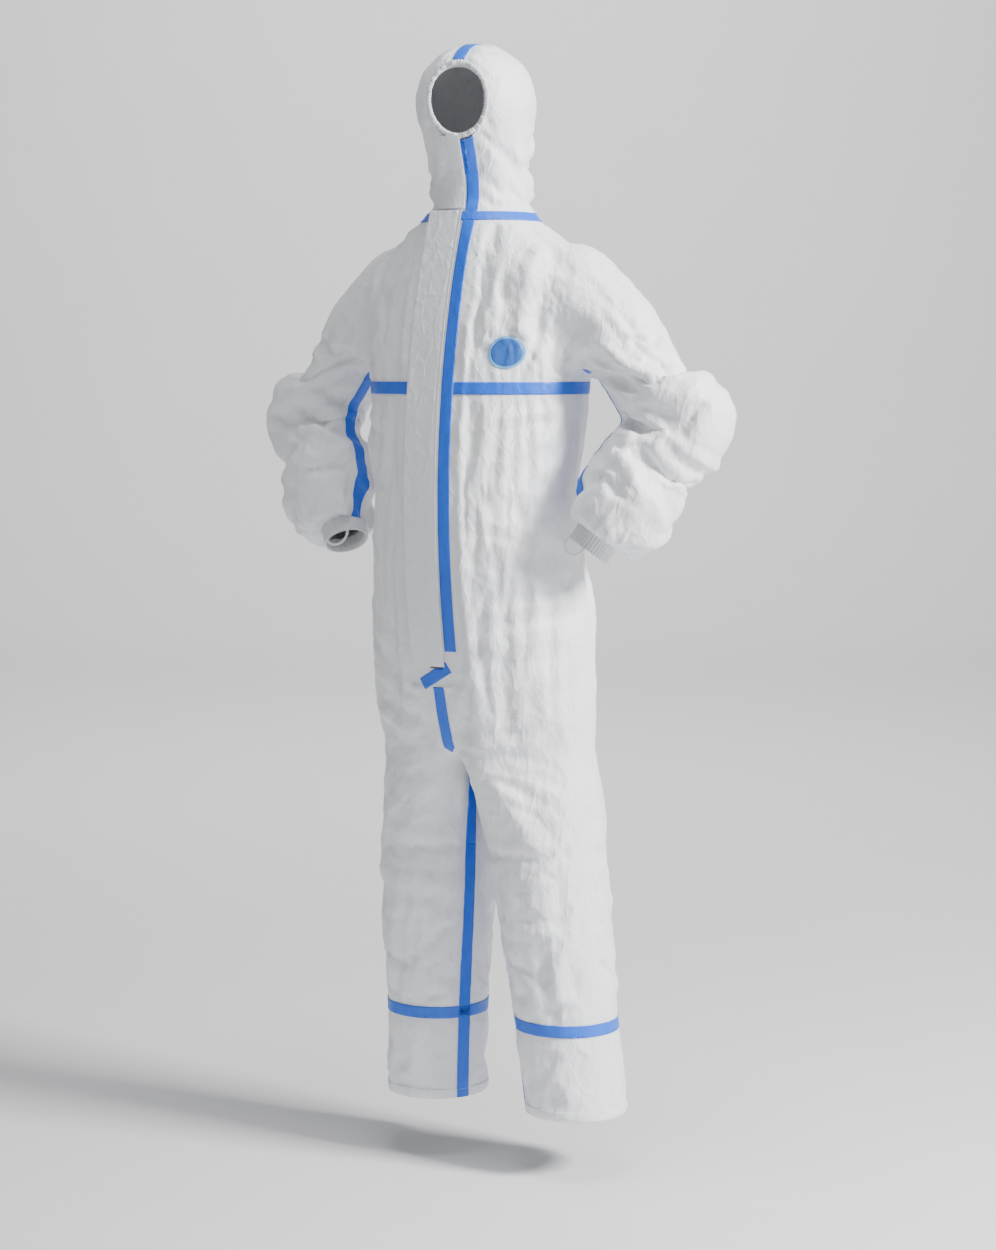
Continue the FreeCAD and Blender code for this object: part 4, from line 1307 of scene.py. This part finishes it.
def rounded(wide, high, gather=0.0, phase=0.0, sides=10):
    """An oval cross-section, swollen by gather times a wave."""
    swell = 1 + gather * math.sin(phase)
    turn = [2 * math.pi * i / sides for i in range(sides)]
    return [(wide * swell * math.cos(a), high * swell * math.sin(a)) for a in turn]


def face_binding():
    """The gathered elastic edge of the hood, set on the edge of the cloth."""
    hood = PIECES["suit_hood"]
    co = points_of(hood.data)
    edge = boundary_points(hood.data) & (co[:, 2] > 0.09)
    head = in_head(co[edge])
    turn = np.arctan2((head[:, 2] - FACE_LEVEL) / FACE_HALF[1], head[:, 0] / FACE_HALF[0])
    order = np.argsort(turn)
    centres, outs, ups = [], [], []
    stations = 360
    for i in range(stations):
        a = 2 * math.pi * i / stations - math.pi
        y = float(np.interp(a, turn[order], head[order, 1], period=2 * math.pi))
        middle = HEAD @ Vector((FACE_HALF[0] * math.cos(a), y, 0))
        middle.z = FACE_LEVEL + FACE_HALF[1] * math.sin(a)
        centres.append(middle)
        outs.append((HEAD.to_3x3() @ Vector((math.cos(a), 0, 0)) + Vector((0, 0, math.sin(a)))).normalized())
        ups.append(HEAD.to_3x3() @ Vector((0, -1, 0)))
    rng = np.random.default_rng(11)
    loose = rng.uniform(0.5, 1.0, stations)
    obj = swept("face_binding", centres, outs, ups,
                lambda i: rounded(0.0042, 0.0022, 0.16 * loose[i], i * 2 * math.pi * 66 / stations), True)
    place(obj, ELASTIC, "elastic_binding", "suit_hood", "face_elastic")


def cuff(name):
    """The elastic cuff: a ribbed band that the sleeve is gathered into."""
    arm = ARMS[name]
    lower = Vector(arm.lower)
    u = lower.cross(Vector((0, 1, 0))).normalized()
    v = lower.cross(u)
    low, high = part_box(f"{name}_cuff_elastic")
    radius = 0.0355
    stations = 240
    centres, outs, ups = [], [], []
    for i in range(stations):
        a = 2 * math.pi * i / stations
        out = u * math.cos(a) + v * math.sin(a)
        centres.append(Vector(arm.wrist) + out * radius + lower * CUFF_LONG / 2)
        outs.append(out)
        ups.append(lower)

    def shape(i):
        ripple = 0.0007 * math.sin(i * 2 * math.pi * 40 / stations)
        points = []
        for out, up in ((0.0012, 0.0125), (0.0017, 0.009), (0.0013, 0.003), (0.0016, -0.004), (0.0013, -0.01),
                        (0.0030, -0.0155), (0.0, -0.017), (-0.0012, -0.0125), (-0.0012, 0.0),
                        (-0.0012, 0.0122)):
            points.append((out + ripple * (1 if out > 0 else 0.6), up))
        return points

    obj = swept(f"cuff_band_{name}", centres, outs, ups, shape, True)
    dress(obj, ELASTIC)
    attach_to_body(obj, f"{name}_forearm")
    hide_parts(f"{name}_cuff_elastic")


FLAP_THICK = 0.0007


def flap_grid(title, node, to_world, x_range, z_range, steps, wave):
    """A flap as a grid dropped on to the front of its CAD solid, then waved a little and given thickness."""
    tree = tree_of(NODES[node])
    columns, rows = steps
    co = []
    for r in range(rows + 1):
        z = z_range[0] + (z_range[1] - z_range[0]) * r / rows
        for c in range(columns + 1):
            x = x_range[0] + (x_range[1] - x_range[0]) * c / columns
            start = to_world @ Vector((x, -0.5, 0))
            start.z = z
            way = to_world.to_3x3() @ Vector((0, 1, 0))
            hit = on_surface(tree, start, way)
            if hit is None:
                hit = start + way * 0.35 if not co else Vector((start.x, co[-1].y, z))
            co.append(hit + way * wave(c / columns, r / rows))
    faces = []
    for r in range(rows):
        for c in range(columns):
            i = r * (columns + 1) + c
            faces.append((i, i + 1, i + columns + 2, i + columns + 1))
    obj = new_object(title, mesh_from(title, co, faces))
    modify(obj, "SOLIDIFY", thickness=FLAP_THICK, offset=0)
    modify(obj, "SUBSURF", levels=1, render_levels=1, boundary_smooth="PRESERVE_CORNERS")
    apply_modifiers(obj)
    obj.data.shade_smooth()
    return obj


def storm_flap():
    low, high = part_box("storm_flap")

    def wave(across, up):
        free = 1 - across
        z = low.z + (high.z - low.z) * up
        soft = noise.noise(Vector((0.3, 0.2, z * 11)))
        soft += 0.5 * noise.noise(Vector((across * 1.3, 5.0, z * 26)))
        pinch = 0.0010 * math.exp(-(((across - 0.93) / 0.035) ** 2))
        return -0.0011 * free * soft + pinch + 0.0006 * crease(Vector((across * 0.06, 0.1, z)), 0.02) * free

    obj = flap_grid("storm_flap_cloth", "storm_flap", Matrix.Identity(4), (low.x + 0.0005, high.x - 0.0005),
                    (low.z + 0.001, high.z - 0.001), (28, 300), wave)
    dress(obj, CLOTH)
    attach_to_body(obj, "storm_flap")
    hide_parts("storm_flap")
    return obj


def chin_flap():
    low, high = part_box("chin_flap")
    co = in_head(points_of(NODES["chin_flap"].data))
    folds = (0.28, 0.52)

    def wave(across, up):
        line = sum(math.exp(-((up - at - 0.05 * (across - 0.5)) / 0.012) ** 2) for at in folds)
        hem = math.exp(-((up - 0.955) / 0.010) ** 2)
        sag = noise.noise(Vector((across * 1.5, up * 2.4, 0.7)))
        return 0.0006 * line + 0.0007 * hem + 0.0009 * sag

    obj = flap_grid("chin_flap_cloth", "chin_flap", HEAD, (co[:, 0].min() + 0.0005, co[:, 0].max() - 0.0005),
                    (low.z + 0.0005, high.z - 0.0005), (36, 64), wave)
    dress(obj, CLOTH)
    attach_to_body(obj, "chin_flap")
    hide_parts("chin_flap")
    return obj


def patch():
    """A plain round patch on the chest, with a paler rim."""
    torso = tree_of(PIECES["suit_torso"])
    low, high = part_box("size_badge")
    middle = (low + high) / 2
    radius = (high.x - low.x) / 2
    for title, inner, outer, lift, material in (("chest_patch", 0.0, 0.88, 0.0007, PATCH),
                                                ("chest_patch_rim", 0.86, 1.0, 0.0010, PATCH_RIM)):
        rings, around = 10, 96
        co, faces = [], []
        for r in range(rings + 1):
            for a in range(around):
                turn = 2 * math.pi * a / around
                away = radius * (inner + (outer - inner) * max(r / rings, 0.004))
                x, z = middle.x + away * math.cos(turn), middle.z + away * math.sin(turn)
                hit, normal, _, _ = torso.ray_cast(Vector((x, -0.6, z)), Vector((0, 1, 0)))
                co.append(hit + Vector((0, -lift, 0)))
        for r in range(rings):
            for a in range(around):
                b = (a + 1) % around
                faces.append((r * around + a, r * around + b, (r + 1) * around + b, (r + 1) * around + a))
        obj = new_object(title, mesh_from(title, co, faces))
        modify(obj, "SOLIDIFY", thickness=0.0005)
        apply_modifiers(obj)
        obj.data.shade_smooth()
        dress(obj, material)
        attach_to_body(obj, "torso")
        on_piece["suit_torso"].append(obj)
        if material is PATCH:
            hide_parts("size_badge")


def stitches(title, path, way, carrier, pitch=0.0032):
    """A row of thread stitches along a path of points, each lying on the cloth."""
    co, faces = [], []
    for i in range(0, len(path) - 1, 2):
        a, b = Vector(path[i]), Vector(path[i + 1])
        along = (b - a).normalized()
        side = along.cross(Vector(way[i])).normalized()
        out = Vector(way[i])
        base = len(co)
        for share, lift in ((0.0, -0.0002), (0.25, 0.0004), (0.75, 0.0004), (1.0, -0.0002)):
            middle = a.lerp(b, share) + out * lift
            for x, y in ((1, 0), (0, 1), (-1, 0), (0, -1)):
                co.append(middle + side * x * 0.0003 + out * y * 0.0003)
        for k in range(3):
            for j in range(4):
                n = (j + 1) % 4
                faces.append((base + 4 * k + j, base + 4 * k + n, base + 4 * k + 4 + n, base + 4 * k + 4 + j))
        faces.append((base, base + 3, base + 2, base + 1))
        faces.append((base + 12, base + 13, base + 14, base + 15))
    obj = new_object(title, mesh_from(title, co, faces))
    obj.data.shade_smooth()
    place(obj, THREAD, "suit_fabric", carrier)
    on_piece[carrier].append(obj)


# its first colour is painted shade for the grooves of the thread's weave
THREAD = woven("white_thread", (0.72, 0.73, 0.76), (0.92, 0.92, 0.93), 900, 0.00008)


def hem(name, side):
    """The turned and stitched edge of a trouser leg."""
    carrier = f"leg_bottom_{name}"
    obj = strip(PIECES[carrier], slab((0, 0, hem_level + 0.008), UP, 0.0095), f"hem_{name}", 0.0002, 0.0007)
    place(obj, CLOTH, "suit_fabric", carrier)
    on_piece[carrier].append(obj)
    tree = tree_of(obj)
    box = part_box(f"{name}_ankle_panel")
    centre = Vector(((box[0].x + box[1].x) / 2, (box[0].y + box[1].y) / 2, 0))
    path, way = [], []
    count = 330
    for i in range(count):
        a = 2 * math.pi * i / count
        out = Vector((math.cos(a), math.sin(a), 0))
        hit = on_surface(tree, centre + out * 0.3 + Vector((0, 0, hem_level + 0.0145)), -out)
        if hit is not None:
            path.append(hit)
            way.append(out)
    stitches(f"hem_stitches_{name}", path, way, carrier)


face_binding()
for name, side in SIDES:
    cuff(name)
    hem(name, side)
STORM = storm_flap()
CHIN = chin_flap()
patch()

KEPT = {
    "zip_coils": NYLON, "zip_tapes": ZIP_CLOTH, "zip_stops": METAL, "zip_slider": METAL, "zip_pull": METAL,
    "flap_adhesive_strip": WAXED, "waist_elastic": ELASTIC, "left_thumb_loop": ELASTIC,
    "right_thumb_loop": ELASTIC,
}
for node, material in KEPT.items():
    NODES[node].data.materials.clear()
    NODES[node].data.materials.append(material)


# ---------------------------------------------------------------- camera, light and floor

def look(at, towards):
    return (Vector(towards) - Vector(at)).to_track_quat("-Z", "Y").to_euler()


AZIMUTH = math.radians(32)
DISTANCE = 4.5
EYE = -0.25
camera = bpy.data.objects.new("camera", bpy.data.cameras.new("camera"))
bpy.context.scene.collection.objects.link(camera)
camera.location = (DISTANCE * math.sin(AZIMUTH), -DISTANCE * math.cos(AZIMUTH), EYE)
camera.rotation_euler = look(camera.location,
                             (0.018 * math.cos(AZIMUTH), 0.018 * math.sin(AZIMUTH), EYE - 0.433))
camera.data.sensor_width = 36
camera.data.lens = 77.4
bpy.context.scene.camera = camera

floor_z = hem_level - 0.11
profile = [(-9.0, 0.0), (6.4, 0.0), (7.2, 0.12), (7.8, 0.6), (8.0, 1.4), (8.0, 9.0)]
away = Vector((-math.sin(AZIMUTH), math.cos(AZIMUTH), 0))
wide = Vector((math.cos(AZIMUTH), math.sin(AZIMUTH), 0))
co, faces = [], []
for out, high in profile:
    for x in (-11, 11):
        co.append(away * out + wide * x + Vector((0, 0, floor_z + high)))
for i in range(len(profile) - 1):
    faces.append((2 * i, 2 * i + 1, 2 * i + 3, 2 * i + 2))
floor = new_object("floor", mesh_from("floor", co, faces))
floor.data.shade_smooth()
modify(floor, "SUBSURF", levels=3, render_levels=3)
floor.data.materials.append(floor_paint())

SUIT_MIDDLE = Vector((0, 0, -0.6))
# name: where it stands, what it shines on, its width in metres, its power in watts
LIGHTS = {
    "key": ((3.5, 0.1, 1.3), SUIT_MIDDLE, 0.9, 400),
    "fill": ((-3.4, -3.2, 0.6), SUIT_MIDDLE, 3.0, 18),
    "top": ((0.7, -0.7, 3.2), SUIT_MIDDLE, 1.4, 80),
    "backdrop_wash": (away * 3.4 + Vector((0, 0, 3.0)), away * 8.0, 3.0, 260),
}
for title, (stand, towards, size, power) in LIGHTS.items():
    light = bpy.data.objects.new(title, bpy.data.lights.new(title, "AREA"))
    bpy.context.scene.collection.objects.link(light)
    light.location = stand
    light.rotation_euler = look(stand, towards)
    light.data.size = size
    light.data.energy = power
world = bpy.context.scene.world or bpy.data.worlds.new("world")
bpy.context.scene.world = world
world.use_nodes = True
world.node_tree.nodes["Background"].inputs["Color"].default_value = (0.93, 0.95, 1.0, 1)
world.node_tree.nodes["Background"].inputs["Strength"].default_value = 0.30
